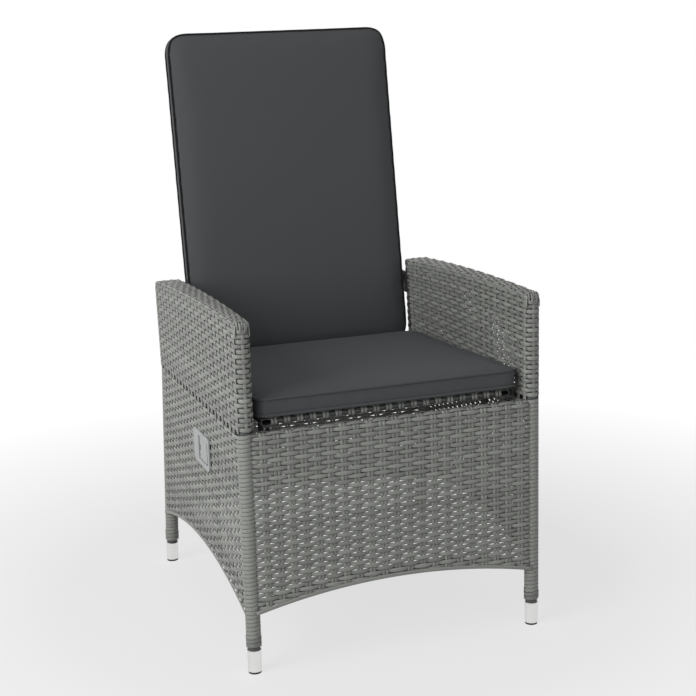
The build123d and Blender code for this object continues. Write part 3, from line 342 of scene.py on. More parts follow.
def ribbons(name, path, starts, ends, step, thick, seed):
    """Flat closed strands as one mesh.

    path(strand numbers, places) gives the middle line, the outward normal and the width. Each strand is sampled
    evenly from its start to its end, and a six-sided flat section follows the line.
    """
    starts, ends = np.asarray(starts, float), np.asarray(ends, float)
    counts = np.maximum(np.ceil((ends - starts) / step).astype(int), 1) + 1
    owner = np.repeat(np.arange(len(starts)), counts)
    first = np.cumsum(counts) - counts
    place = (np.arange(counts.sum()) - first[owner]) / (counts[owner] - 1)
    t = starts[owner] + (ends - starts)[owner] * place
    middle, normal, width = path(owner, t)
    nudge = step / 20
    tangent = unit(path(owner, t + nudge)[0] - path(owner, t - nudge)[0])
    across = unit(np.cross(normal, tangent))
    normal = np.cross(tangent, across)
    vertices = (middle[:, None] + across[:, None] * (RING_ACROSS[:, None] * width[:, None, None] / 2)
                + normal[:, None] * (RING_OUT[:, None] * thick / 2))
    ring = len(RING_ACROSS)
    keep = np.flatnonzero(owner[:-1] == owner[1:])
    k = np.arange(ring)
    base, ahead = keep[:, None] * ring, (keep[:, None] + 1) * ring
    turned = (k + 1) % ring
    quads = np.stack([base + k, ahead + k, ahead + turned, base + turned], axis=-1).reshape(-1, 4)
    last = first + counts - 1
    caps = np.concatenate([first[:, None] * ring + k, last[:, None] * ring + k[::-1]])
    tone = np.random.default_rng(seed).random(len(starts))[owner]
    run = np.concatenate(([0.0], np.cumsum(np.linalg.norm(np.diff(middle, axis=0), axis=1))))
    strand = np.stack(np.broadcast_arrays(run[:, None], RING_ACROSS[None], tone[:, None]), axis=-1)
    return mesh_from(name, vertices.reshape(-1, 3), [quads, caps], strand.reshape(-1, 3))


def mirrored_mesh(mesh, name):
    """Copy of a mesh mirrored in X, with its faces turned outward again."""
    twin = mesh.copy()
    twin.name = name
    twin.transform(Matrix.Scale(-1, 4, (1, 0, 0)))
    twin.flip_normals()
    return twin


def pieces_of(start, end, gaps):
    """Parts of a run from start to end that are left between gaps."""
    parts = []
    for low, high in sorted(gaps):
        if high <= start or low >= end:
            continue
        if low > start:
            parts.append((start, low))
        start = max(start, high)
    if start < end:
        parts.append((start, end))
    return parts


class Weave:
    """Strand builder: rows and upright pairs over a surface given in lattice places."""

    def __init__(self, lines):
        self.lines = lines
        self.w = lines.w
        self.step = 1 / lines.w.samples

    def weft_width(self, phase):
        """Row strand width: fullest over a pair and half way between pairs, drawn in beside each pair."""
        w = self.w.weft_w
        return w * (1 + 0.02 * np.cos(4 * np.pi * phase) + 0.13 * np.cos(np.pi * phase))

    def rows(self, name, surface, runs, seed, tuck=True, narrow=None):
        """Row strands; runs lists (row, start, end) in spaces between pairs, and narrow gives a share of the full
        width at each place."""
        row = np.array([r[0] for r in runs], float)
        starts, ends = np.array([r[1] for r in runs], float), np.array([r[2] for r in runs], float)
        shift = np.random.default_rng(seed + 1).uniform(-0.03, 0.03, len(runs))

        def path(owner, u):
            phase = u + row[owner]
            lift = self.w.weft_lift * wave(phase)
            if tuck:
                edge = np.clip(np.minimum(u - starts[owner], ends[owner] - u) / TUCK, 0, 1)
                lift = lift * edge - self.w.weft_lift * 2 * (1 - edge)
            spot, normal = surface(u, row[owner] + shift[owner])
            width = self.weft_width(phase) * (narrow(u) if narrow else 1.0)
            return spot + normal * lift[:, None], normal, width

        return ribbons(name, path, starts, ends, self.step, self.w.weft_t, seed)

    def pairs(self, name, surface, runs, spacing, seed, single=()):
        """Upright strands; runs lists (pair, start, end) in rows. Pairs named in single have one strand."""
        doubled = [(u, a, b, side) for u, a, b in runs for side in ((0,) if u in single else (-1, 1))]
        at = np.array([d[0] for d in doubled], float)
        starts, ends = np.array([d[1] for d in doubled], float), np.array([d[2] for d in doubled], float)
        side = np.array([d[3] for d in doubled], float) * self.w.pair_gap / spacing / 2

        def path(owner, v):
            lift = -self.w.warp_lift * np.cos(np.pi * (v + at[owner]))
            spot, normal = surface(at[owner] + side[owner], v)
            pinch = 1 - 0.05 * np.cos(np.pi * (v + at[owner]))
            return spot + normal * lift[:, None], normal, self.w.warp_w * pinch

        return ribbons(name, path, starts, ends, 0.5, self.w.warp_t, seed)


# ---------------------------------------------------------------- woven surfaces

class Side:
    """Right-hand arm and side wall in lattice places: spaces from the front leg to the rear, rows upward."""

    def __init__(self, lines):
        self.lines = lines
        self.n = lines.w.side_count
        self.spacing = (lines.s.leg_top_y - lines.s.leg_front_y) / self.n
        self.top = lines.side_rows
        self.caps = lines.w.cap_rows + 1

    def outer(self, u, v):
        """Outer wall: straight in plan from leg to leg."""
        y, z = self.lines.side_yz(u / self.n, v)
        return points(self.lines.wall_x(y) - self.lines.inset, y, z), points(1.0, -0.0242, 0.0) + 0 * y[:, None]

    def loop(self, u, v):
        """Whole wall round the arm: outer side for places up to n, round the front below 0, the inner side from
        -2 downward, and round the rear above n. Each end is a half ellipse or two quarter circles in plan."""
        g, s = self.lines, self.lines.s
        outer_t, inner_t = np.clip(u / self.n, 0, 1), np.clip((-2 - u) / self.n, 0, 1)
        y, z = g.side_yz(np.where(u < -1, inner_t, outer_t), v)
        wall, inner = g.wall_x(y) - g.inset, g.inner_x(y) + g.inset
        turn = np.clip(-u / 2, 0, 1) * np.pi
        half, middle, r = (wall - inner) / 2, (wall + inner) / 2, g.wrap_r - g.inset
        spot = points(middle + half * np.cos(turn), y - r * np.sin(turn), z)
        normal = unit(points(np.cos(turn) / half, -np.sin(turn) / r, 0.0))
        end = np.clip((u - self.n) / 3, 0, 1)[:, None]
        corner = np.clip(end * 3, 0, 1) * np.pi / 2
        far = np.clip(end * 3 - 2, 0, 1) * np.pi / 2
        width = (2 * half - 2 * r)[:, None]
        across = r * (1 - np.cos(corner)) + width * np.clip(end * 3 - 1, 0, 1) + r * np.sin(far)
        deep = r * np.sin(corner) - r * (1 - np.cos(far))
        spot = spot + np.concatenate([-across, deep, 0 * deep], axis=1) * (u > self.n)[:, None]
        facing = np.concatenate([np.cos(corner) - np.sin(far), np.sin(corner) * np.cos(far), 0 * deep], axis=1)
        return spot, np.where((u > self.n)[:, None], unit(facing + 1e-9), normal)

    def cap(self, u, v):
        """Arm top: rows from the outer wall's top over two rounded edges to the inner wall, turned down at the
        front and rear ends over a small nose radius."""
        g, s = self.lines, self.lines.s
        y, _ = g.side_yz(np.clip(u / self.n, 0, 1), np.full_like(u, self.top))
        wall, inner = g.wall_x(y) - g.inset, g.inner_x(y) + g.inset
        r = s.arm_edge - g.inset
        flat = wall - inner - 2 * r
        arc = np.pi * r / 2
        run = (v - self.top) / self.caps * (2 * arc + flat)
        first, last = np.clip(run / r, 0, np.pi / 2), np.clip((run - arc - flat) / r, 0, np.pi / 2)
        x = wall - r + r * np.cos(first) - np.clip(run - arc, 0, flat) - r * np.sin(last)
        rise = r * np.sin(first) - r * (1 - np.cos(last)) - s.arm_edge
        nx, nz = np.cos(first) - np.sin(last), np.sin(first) * np.cos(last)
        depth = np.minimum(wall + g.inset - x, x - inner + g.inset)
        round_r = g.wrap_r
        reach = np.sqrt(np.maximum(round_r ** 2 - np.maximum(round_r - depth, 0) ** 2, 0)) - s.arm_nose
        beyond = np.maximum(np.maximum(-u, u - self.n), 0) * self.spacing
        way = np.where(u < 0, -1.0, 1.0)
        bend = np.clip((beyond - reach) / s.arm_nose, 0, np.pi / 2)
        down = np.maximum(beyond - reach - s.arm_nose * np.pi / 2, 0)
        y = y + way * (np.clip(beyond, 0, np.maximum(reach, 0)) + s.arm_nose * np.sin(bend))
        z = g.arm_z(np.clip(y, g.y0, g.y1)) + rise - s.arm_nose * (1 - np.cos(bend)) - down
        return points(x, y, z), unit(points(nx, way * nz * np.sin(bend), nz * np.cos(bend) + 1e-9))

    def cap_narrow(self, u):
        """Share of the full strand width for the rows over the arm, which crowd together towards the front."""
        g = self.lines
        y, _ = g.side_yz(np.clip(u / self.n, 0, 1), np.full_like(u, self.top))
        r = g.s.arm_edge - g.inset
        around = g.wall_x(y) - g.inner_x(y) - 2 * g.inset - 2 * r + np.pi * r
        return np.clip(around / self.caps / g.w.pitch, 0.5, 1.0) * 0.88

    def upright(self, u, v):
        """Path of an upright strand: up the outer wall, over the arm and down the inner wall."""
        over = self.top + self.caps
        spot_a, normal_a = self.outer(u, np.minimum(v, self.top))
        spot_b, normal_b = self.cap(u, np.clip(v, self.top, over))
        spot_c, normal_c = self.loop(-2 - u, self.top - np.maximum(v - over, 0))
        low, high = (v <= self.top)[:, None], (v >= over)[:, None]
        return (np.where(low, spot_a, np.where(high, spot_c, spot_b)),
                np.where(low, normal_a, np.where(high, normal_c, normal_b)))


def side_pieces(weave, left):
    """Meshes of one side: rows of the outer wall, loops round the arm, rows over it, and upright pairs."""
    g, side = weave.lines, Side(weave.lines)
    s, w = g.s, g.w
    n, top = side.n, side.top
    tag = "left" if left else "right"
    rows_low = math.floor((s.apron_z - s.arch_z) / w.pitch)
    plate = (s.handle_l / 2 - PLATE_LAP[0], s.handle_h / 2 - PLATE_LAP[1])
    half = (g.rear_y(np.array(s.arch_z)) - s.leg_front_y) / 2

    low_runs = []
    for row in range(-rows_low, 0):
        z = s.apron_z + row * w.pitch
        gaps = []
        opening = float(arch_gap(z - s.arch_z - HEM_COVER, half, s.arch_side))
        scale = n / (float(g.rear_y(np.array(z))) - s.leg_front_y)
        if opening > 0:
            gaps.append(((half - opening) * scale, (half + opening) * scale))
        if left and abs(z - s.handle_z) < plate[1]:
            middle = s.handle_y - s.leg_front_y
            gaps.append(((middle - plate[0]) * scale, (middle + plate[0]) * scale))
        low_runs += [(row, a, b) for a, b in pieces_of(0.08, n - 0.08, gaps)]
    inner_runs = [(row, -2.0 - n, -2.0) for row in range(-3, 0)]
    loop_runs = [(row, -2.0 - n, n + 3.0) for row in range(1, top + 1)]
    cap_runs = [(top + k, -1.15, n + 1.15) for k in range(1, side.caps)]
    over = top + side.caps
    bottom = over + top + (s.apron_z - s.inner_z) / w.pitch
    warp_runs = []
    for i in range(0, n + 1):
        y = s.leg_front_y + (g.rear_y(np.array(s.arch_z)) - s.leg_front_y) * i / n
        rise = arch_height(float(y) - s.leg_front_y - half, half, s.arch_side)
        start = (-(s.apron_z - s.arch_z) + w.hem_w * HEM_TUCK + rise) / w.pitch
        gaps = []
        if left:
            mid_y = float(g.side_yz(np.array([i / n]), np.array([(s.handle_z - s.apron_z) / w.pitch]))[0][0])
            if abs(mid_y - s.handle_y) < plate[0]:
                gaps.append(((s.handle_z - plate[1] - s.apron_z) / w.pitch,
                             (s.handle_z + plate[1] - s.apron_z) / w.pitch))
        first = 0.0 if i in (0, n) else float(start)
        warp_runs += [(i, a, b) for a, b in pieces_of(first, bottom, gaps)]
    post_runs = [(i, 0.6, top + 0.6) for i in (-1, n + 1, n + 2)]

    def hem_path(owner, t):
        y = s.leg_front_y + 2 * half * t
        z = s.arch_z + arch_height(2 * half * t - half, half, s.arch_side) + w.hem_w * HEM_RISE
        return points(g.wall_x(y), y, z), points(1.0, -0.0242, 0.0 * t), np.full(len(t), w.hem_w)

    made = [
        ("side_rows_" + tag, weave.rows("side_rows", side.outer, low_runs, 11 + left)),
        ("arm_loops_" + tag, weave.rows("arm_loops", side.loop, loop_runs, 21 + left, tuck=False)),
        ("inner_rows_" + tag, weave.rows("inner_rows", side.loop, inner_runs, 31 + left)),
        ("arm_rows_" + tag, weave.rows("arm_rows", side.cap, cap_runs, 41 + left, tuck=False,
                                           narrow=side.cap_narrow)),
        ("side_uprights_" + tag, weave.pairs("side_uprights", side.upright, warp_runs, side.spacing, 51 + left)),
        ("arm_posts_" + tag, weave.pairs("arm_posts", side.loop, post_runs, side.spacing, 61 + left, single=(-1,))),
        ("side_hem_" + tag, ribbons("side_hem", hem_path, [0.0], [1.0], 1 / HEM_STEPS, w.weft_t, 66 + left)),
    ]
    return [(name, mirrored_mesh(mesh, name)) if left else (name, mesh) for name, mesh in made]


class Apron:
    """Front apron or rear skirt: a flat wall between two legs, turned back over its top rail."""

    def __init__(self, lines, half, top, origin, up, out, n):
        self.lines, self.half, self.top, self.n = lines, half, top, n
        self.origin, self.up, self.out = np.array(origin, float), np.array(up, float), np.array(out, float)
        self.r = lines.s.rail_r + lines.inset
        self.spacing = 2 * half / n

    def surface(self, u, v):
        """Places across in spaces, rows upward from the floor line; beyond the top they go round the rail."""
        pitch = self.lines.w.pitch
        height = v * pitch
        straight = self.top - self.r - self.lines.inset
        turn = np.clip((height - straight) / self.r, 0, np.pi)
        tail = np.maximum(height - straight - self.r * np.pi, 0)
        rise = np.minimum(height, straight) + self.r * np.sin(turn) - tail
        back = self.lines.inset + self.r * (1 - np.cos(turn))
        x = (u / self.n - 0.5) * 2 * self.half
        spot = self.origin + x[:, None] * [1, 0, 0] + rise[:, None] * self.up - back[:, None] * self.out
        return spot, np.cos(turn)[:, None] * self.out + np.sin(turn)[:, None] * self.up

    def hem(self, name, rise, seed):
        """Strand that binds the arched edge: it follows the arch, flat on the wall's face."""
        def path(owner, t):
            x = (2 * t - 1) * self.half
            height = self.lines.s.arch_z + arch_height(x, self.half, rise) + self.lines.w.hem_w * HEM_RISE
            spot = self.origin + x[:, None] * [1, 0, 0] + height[:, None] * self.up
            return spot, np.broadcast_to(self.out, spot.shape), np.full(len(t), self.lines.w.hem_w)

        return ribbons(name, path, [0.0], [1.0], 1 / HEM_STEPS, self.lines.w.weft_t, seed)

    def pieces(self, weave, name, rise, seed):
        """Row and upright meshes, and the hem."""
        s, w = self.lines.s, self.lines.w
        rows = math.ceil((self.top + self.r * 1.8) / w.pitch)
        runs = []
        for row in range(math.floor(s.arch_z / w.pitch), rows):
            height = row * w.pitch - s.arch_z - HEM_COVER
            opening = float(arch_gap(height, self.half, rise)) if height > 0 else self.half
            middle, gap = self.n / 2, opening * self.n / (2 * self.half)
            gaps = [(middle - gap, middle + gap)] if opening > 0 else []
            runs += [(row, a, b) for a, b in pieces_of(0.12, self.n - 0.12, gaps)]
        uprights = []
        for i in range(1, self.n):
            x = (i / self.n - 0.5) * 2 * self.half
            start = (s.arch_z + float(arch_height(x, self.half, rise)) + w.hem_w * HEM_TUCK) / w.pitch
            uprights.append((i, start, (self.top + self.r * 2) / w.pitch))
        return [(name + "_rows", weave.rows(name, self.surface, runs, seed)),
                (name + "_uprights", weave.pairs(name, self.surface, uprights, self.spacing, seed + 5)),
                (name + "_hem", self.hem(name, rise, seed + 7))]


def back_surface(lines):
    """Woven back in lattice places: across the front of the side tubes and round them, rows up the slope, and over
    the top tube."""
    s, n = lines.s, lines.w.back_count
    r = s.back_r + lines.inset
    total = 2 * s.back_half + 2 * math.pi * r

    def surface(u, v):
        run = (u / n - 0.5) * total
        x = np.clip(run, -s.back_half, s.back_half)
        turn = np.clip((np.abs(run) - s.back_half) / r, 0, np.pi)
        height = v * lines.w.pitch
        over = np.clip((height - s.back_top) / r, 0, np.pi)
        reach = np.minimum(height, s.back_top) + r * np.sin(over) * np.cos(turn)
        forward = r * np.cos(turn) * np.cos(over)
        side = np.sign(run) * r * np.sin(turn)
        spot = lines.tilted(x + side, reach, forward)
        normal = lines.tilted(np.sign(run) * np.sin(turn), np.sin(over) * np.cos(turn), np.cos(turn) * np.cos(over))
        return spot, unit(normal - lines.tilted(0.0, 0.0, 0.0))

    return surface, total / n


def back_pieces(weave):
    """Row and upright meshes of the woven back."""
    g = weave.lines
    s, w, n = g.s, g.w, g.w.back_count
    surface, spacing = back_surface(g)
    r = s.back_r + g.inset
    bend = s.back_top - s.back_corner
    runs = []
    for row in range(math.ceil(s.back_low / w.pitch), math.floor((s.back_top + r) / w.pitch) + 2):
        reach = row * w.pitch
        if s.back_wrap < reach < bend:
            runs.append((row, 0.1, n - 0.1))
            continue
        half = s.back_half + r * 1.1
        if reach > bend:
            past = min(reach, s.back_top + r * 0.9) - bend
            half = s.back_half - s.back_corner + math.sqrt(max((s.back_corner + r) ** 2 - past ** 2, 0))
        cut = half / spacing
        runs.append((row, n / 2 - cut, n / 2 + cut))
    uprights = []
    for i in range(1, n):
        x = abs(i - n / 2) * spacing
        if x > s.back_half + r:
            uprights.append((i, s.back_wrap / w.pitch, bend / w.pitch))
            continue
        past = max(x - s.back_half + s.back_corner, 0)
        if past > 0:
            end = bend + math.sqrt(max((s.back_corner + r) ** 2 - past ** 2, 0))
        else:
            end = s.back_top + r * 2.6
        uprights.append((i, s.back_low / w.pitch, end / w.pitch))
    return [("back_rows", weave.rows("back_rows", surface, runs, 81)),
            ("back_uprights", weave.pairs("back_uprights", surface, uprights, spacing, 86))]


def seat_pieces(weave):
    """Row and upright meshes of the woven seat."""
    g = weave.lines
    s, w, n = g.s, g.w, g.w.seat_count
    spacing = 2 * s.seat_half / n
    front = (s.seat_front - s.hinge_y) / math.cos(g.slope)
    rear = (s.seat_rear - s.hinge_y) / math.cos(g.slope)
    level = s.seat_rail_h / 2 + g.inset

    def surface(u, v):
        x = (u / n - 0.5) * 2 * s.seat_half
        along = v * w.pitch
        edge = front + LIP_START
        lip = np.clip((edge - along) / LIP_R, 0, np.pi / 2)
        drop = np.maximum(edge - along - LIP_R * np.pi / 2, 0)
        spot = g.seated(x, np.maximum(along, edge) - LIP_R * np.sin(lip),
                        level - LIP_R * (1 - np.cos(lip)) - drop)
        normal = g.seated(0.0 * x, -np.sin(lip), np.cos(lip)) - g.seated(0.0, 0.0, 0.0)
        return spot, unit(normal)

    rows = [(row, 0.02, n - 0.02) for row in range(math.ceil(front / w.pitch), math.floor(rear / w.pitch))]
    uprights = [(i, (front - LIP_END) / w.pitch, rear / w.pitch) for i in range(1, n)]
    return [("seat_rows", weave.rows("seat_rows", surface, rows, 91)),
            ("seat_uprights", weave.pairs("seat_uprights", surface, uprights, spacing, 96))]


def wrap_mesh(name, lines, foot, head, low, high, lift, seed):
    """One strand wound round a leg from a low to a high height, as a helix round the leg's line, lifted off it."""
    foot, head = np.array(foot, float), np.array(head, float)
    axis = unit(head - foot)
    side = unit(np.cross([0.0, 1.0, 0.0], axis))
    other = np.cross(axis, side)
    r = lines.wrap_r - WRAP_T / 2 + lift
    turns = (high - low) / (lines.w.wrap_w * WRAP_LAP)

    def path(owner, t):
        angle = 2 * np.pi * t
        height = (low + (high - low) * t / turns - foot[2]) / axis[2]
        normal = np.cos(angle)[:, None] * side + np.sin(angle)[:, None] * other
        return foot + height[:, None] * axis + r * normal, normal, np.full(len(t), lines.w.wrap_w)

    return ribbons(name, path, [0.0], [turns], 1 / WRAP_STEPS, WRAP_T, seed)


# ---------------------------------------------------------------- cushions

def pad_outline(half_low, half_high, low, high, corner):
    """Closed outline of a pad with rounded corners: points (n, 2), even in angle round each corner."""
    corners = [(half_low, low), (half_high, high), (-half_high, high), (-half_low, low)]
    line = []
    for index, (x, y) in enumerate(corners):
        before = np.array(corners[index - 1], float)
        after = np.array(corners[(index + 1) % 4], float)
        here = np.array([x, y], float)
        a, b = unit(before - here), unit(after - here)
        t = np.linspace(0, 1, CORNER_STEPS)[:, None]
        start, end = here + a * corner, here + b * corner
        line.append(start * (1 - t) ** 2 + here * 2 * t * (1 - t) + end * t ** 2)
        other = after - b * corner
        steps = np.linspace(0, 1, PAD_STEPS)[1:-1, None]
        line.append(end * (1 - steps) + other * steps)
    return np.concatenate(line)


def ripples(line, shortest, longest, height, seed):
    """Uneven waves along a closed line: a sum of sines of random phase between two wavelengths."""
    step = np.linalg.norm(np.roll(line, -1, 0) - line, axis=1)
    run, total = np.cumsum(step) - step, step.sum()
    rng = np.random.default_rng(seed)
    waves = np.arange(math.ceil(total / longest), math.ceil(total / shortest))
    phases, sizes = rng.uniform(0, 2 * np.pi, len(waves)), rng.uniform(0.3, 1.0, len(waves))
    made = (sizes * np.sin(2 * np.pi * waves * run[:, None] / total + phases)).sum(1)
    return height * made / np.abs(made).max()


def pad_mesh(outline, thick, band, wrinkle):
    """Closed crowned pad: rings of the outline drawn towards its middle on both faces.

    A face rises over its seam with one less the cube of the way left to the middle, so it is fullest just inside
    the seam. The side between the seams bows outward, and by a wrinkle that differs along the outline.
    """
    middle = outline.mean(0)
    outward = unit(outline - middle)
    ins = np.concatenate([np.linspace(0, PAD_RIM, 6)[1:], np.linspace(PAD_RIM, 1, 14)[1:]])
    top = [(1 - PAD_CORE * i, band / 2 + (thick - band) / 2 * (1 - (1 - min(i * 3, 1)) ** 3)) for i in ins]
    layers = [(outline * k + middle * (1 - k), -z) for k, z in reversed(top)]
    for a in np.linspace(-math.pi / 2, math.pi / 2, 9):
        layers.append((outline + outward * ((BAND_BOW + wrinkle) * math.cos(a))[:, None], band / 2 * math.sin(a)))
    layers += [(outline * k + middle * (1 - k), z) for k, z in top]
    n = len(outline)
    vertices = np.concatenate([np.column_stack([line, np.full(n, z)]) for line, z in layers])
    i = np.arange(n)
    base = np.arange(len(layers) - 1)[:, None] * n
    quads = np.stack([base + i, base + (i + 1) % n, base + n + (i + 1) % n, base + n + i], axis=-1).reshape(-1, 4)
    i = np.arange(n // 2 - 1)
    low = np.column_stack([n - 1 - i, n - 2 - i, i + 1, i])
    return vertices, [quads, low, (len(layers) - 1) * n + low[:, ::-1]]


def placed(vertices, place):
    """Vertices (across, along, up) through a placing function."""
    return place(vertices[:, 0], vertices[:, 1], vertices[:, 2])


def tube_mesh(name, line, normals, radius, rounds=8):
    """Closed tube round a closed line."""
    tangent = unit(np.roll(line, -1, 0) - np.roll(line, 1, 0))
    across = unit(np.cross(normals, tangent))
    out = np.cross(tangent, across)
    a = np.arange(rounds) * 2 * np.pi / rounds
    vertices = line[:, None] + radius * (np.cos(a)[:, None] * across[:, None] + np.sin(a)[:, None] * out[:, None])
    n = len(line)
    i, j = np.meshgrid(np.arange(n), np.arange(rounds), indexing="ij")
    i2, j2 = (i + 1) % n, (j + 1) % rounds
    faces = np.stack([i * rounds + j, i2 * rounds + j, i2 * rounds + j2, i * rounds + j2], axis=-1).reshape(-1, 4)
    return mesh_from(name, vertices.reshape(-1, 3), [faces[:, ::-1]])


def swell(piece):
    """Remesh a pad, blow it up as cloth, keep every point within a cap of its start, and leave plain mesh."""
    remesh = piece.modifiers.new("Remesh", "REMESH")
    remesh.mode = "VOXEL"
    remesh.voxel_size = CLOTH_CELL
    remesh.use_smooth_shade = True
    apply_modifiers(piece)
    start = positions(piece.data)
    cloth = piece.modifiers.new("Cloth", "CLOTH")
    cloth.settings.quality = 4
    cloth.settings.use_pressure = True
    cloth.settings.uniform_pressure_force = CLOTH_PRESSURE
    cloth.settings.tension_stiffness = 20
    cloth.settings.compression_stiffness = 20
    cloth.settings.bending_stiffness = 1.0
    cloth.settings.effector_weights.gravity = 0.0
    cloth.point_cache.frame_start = 1
    cloth.point_cache.frame_end = CLOTH_FRAMES
    scene = bpy.context.scene
    for number in range(1, CLOTH_FRAMES + 1):
        scene.frame_set(number)
    apply_modifiers(piece)
    scene.frame_set(1)
    moved = positions(piece.data) - start
    far = np.maximum(np.linalg.norm(moved, axis=1, keepdims=True) / CLOTH_CAP, 1)
    piece.data.vertices.foreach_set("co", (start + moved / far).astype(np.float32).ravel())
    piece.data.update()


def positions(mesh):
    """Vertex positions of a mesh as an array."""
    co = np.empty(len(mesh.vertices) * 3, np.float32)
    mesh.vertices.foreach_get("co", co)
    return co.reshape(-1, 3).astype(float)


def apply_modifiers(piece):
    """Replace a piece's mesh by what its modifiers make of it."""
    graph = bpy.context.evaluated_depsgraph_get()
    graph.update()
    made = bpy.data.meshes.new_from_object(piece.evaluated_get(graph), depsgraph=graph)
    piece.modifiers.clear()
    old = piece.data
    piece.data = made
    bpy.data.meshes.remove(old)


def subdivided(piece, levels):
    """Subdivision surface with equal levels for view and render."""
    mod = piece.modifiers.new("Subdivision", "SUBSURF")
    mod.levels = mod.render_levels = levels


# ---------------------------------------------------------------- materials

class Value:
    """A node output that takes part in sums; a plain number joins in as it is."""

    def __init__(self, tree, socket):
        self.tree, self.socket = tree, socket

    def _with(self, operation, *others, flip=False):
        node = self.tree.nodes.new("ShaderNodeMath")
        node.operation = operation
        terms = list(reversed((self, *others))) if flip else [self, *others]
        for place, term in zip(node.inputs, terms):
            if isinstance(term, Value):
                self.tree.links.new(term.socket, place)
            else:
                place.default_value = term
        return Value(self.tree, node.outputs[0])

    def __add__(self, other):
        return self._with("ADD", other)

    __radd__ = __add__

    def __mul__(self, other):
        return self._with("MULTIPLY", other)

    __rmul__ = __mul__

    def __sub__(self, other):
        return self._with("SUBTRACT", other)

    def __rsub__(self, other):
        return self._with("SUBTRACT", other, flip=True)

    def sine(self):
        """Sine of the value."""
        return self._with("SINE")

    def clamped(self):
        """Value kept between 0 and 1."""
        value = self._with("MULTIPLY", 1.0)
        value.socket.node.use_clamp = True
        return value


class Finish:
    """A material and the nodes that make it."""

    def __init__(self, name, **constants):
        self.material = bpy.data.materials.new(name)
        self.material.use_nodes = True
        self.tree = self.material.node_tree
        self.shader = self.tree.nodes["Principled BSDF"]
        for socket, value in constants.items():
            self.set(socket.replace("_", " "), value)

    def node(self, kind, settings=None, **inputs):
        """Add a node, its settings and its inputs, and return it."""
        node = self.tree.nodes.new(kind)
        for key, value in (settings or {}).items():
            setattr(node, key, value)
        for key, value in inputs.items():
            self.link(node.inputs[key.replace("_", " ")], value)
        return node

    def link(self, socket, value):
        """Join a value, node output, colour or number to a socket."""
        if isinstance(value, Value):
            value = value.socket
        if isinstance(value, bpy.types.NodeSocket):
            self.tree.links.new(value, socket)
        elif hasattr(value, "__len__") and len(value) == 3 and socket.type == "RGBA":
            socket.default_value = (*value, 1.0)
        else:
            socket.default_value = value

    def set(self, name, value):
        """Set or join one of the shader's own inputs."""
        self.link(self.shader.inputs[name], value)

    def value(self, node, output=0):
        """A node's output as a value."""
        return Value(self.tree, node.outputs[output])

    def object_place(self):
        """Object coordinates."""
        return self.node("ShaderNodeTexCoord").outputs["Object"]

    def noise(self, place, scale, detail=3.0, roughness=0.55):
        """Noise between 0 and 1."""
        node = self.node("ShaderNodeTexNoise", Vector=place, Scale=scale, Detail=detail, Roughness=roughness)
        return self.value(node, "Fac")

    def mixed(self, factor, first, second):
        """Mix of two colours."""
        node = self.tree.nodes.new("ShaderNodeMix")
        node.data_type = "RGBA"
        self.link(node.inputs[0], factor)
        self.link(node.inputs[6], first)
        self.link(node.inputs[7], second)
        return node.outputs[2]

    def bump(self, height, distance, strength=1.0):
        """Join a height to the shader's normal."""
        node = self.node("ShaderNodeBump", Height=height, Distance=distance, Strength=strength)
        self.set("Normal", node.outputs["Normal"])


def tinted(colours, amount):
    """A colour made lighter or darker by a share."""
    return tuple(min(c * amount, 1.0) for c in colours)


def strand_finish(name, c):
    """Satin synthetic strand: tone differs from strand to strand, fine grooves run along it."""
    f = Finish(name, Roughness=0.45)
    data = f.node("ShaderNodeAttribute", {"attribute_name": "strand"}).outputs["Vector"]
    split = f.node("ShaderNodeSeparateXYZ", Vector=data)
    run, across, tone = f.value(split, 0), f.value(split, 1), f.value(split, 2)
    lanes = f.node("ShaderNodeCombineXYZ", X=run * 60.0, Y=across * 9.0, Z=tone * 40.0).outputs[0]
    streak = f.noise(lanes, 1.0, 2.0)
    slow = f.noise(f.node("ShaderNodeCombineXYZ", X=run * 14.0, Y=tone * 30.0).outputs[0], 1.0, 1.0)
    amount = (tone * 0.55 + streak * 0.35 + slow * 0.45 - 0.2).clamped()
    red, green, blue = c.strand_light
    warm = f.mixed(slow, (red, green, blue), (red * 0.97, green, blue * 0.93))
    f.set("Base Color", f.mixed(amount, tuple(c.strand_dark), warm))
    f.set("Roughness", streak * 0.16 + 0.36)
    f.bump((across * 9.0).sine() * 0.25 + streak, 0.00018, 0.7)
    return f.material


def fabric_finish(name, base, thread=900.0):
    """Dense plain-woven polyester: two sets of threads, mottled tone and a soft sheen."""
    f = Finish(name, Roughness=0.9, Specular_IOR_Level=0.25, Sheen_Weight=0.12, Sheen_Roughness=0.5)
    place = f.object_place()
    split = f.node("ShaderNodeSeparateXYZ", Vector=place)
    x, y, z = (f.value(split, i) for i in range(3))
    across = (x * thread * 2.0).sine()
    along = ((y + z) * thread * 2.0).sine()
    slub = f.noise(f.node("ShaderNodeVectorMath", {"operation": "MULTIPLY"}).outputs[0], 1.0)
    stretch = slub.socket.node.inputs["Vector"].links[0].from_node
    f.link(stretch.inputs[0], place)
    stretch.inputs[1].default_value = (900.0, 160.0, 160.0)
    mottle = f.noise(place, 420.0, 4.0, 0.7)
    cloud = f.noise(place, 18.0, 2.0)
    tone = (slub * 0.45 + mottle * 0.5 + cloud * 0.2 - 0.1).clamped()
    f.set("Base Color", f.mixed(tone, tinted(base, 0.62), tinted(base, 1.5)))
    f.set("Roughness", mottle * 0.12 + 0.8)
    f.bump(across * along * 0.4 + mottle * 0.6, 0.0004, 0.5)
    return f.material


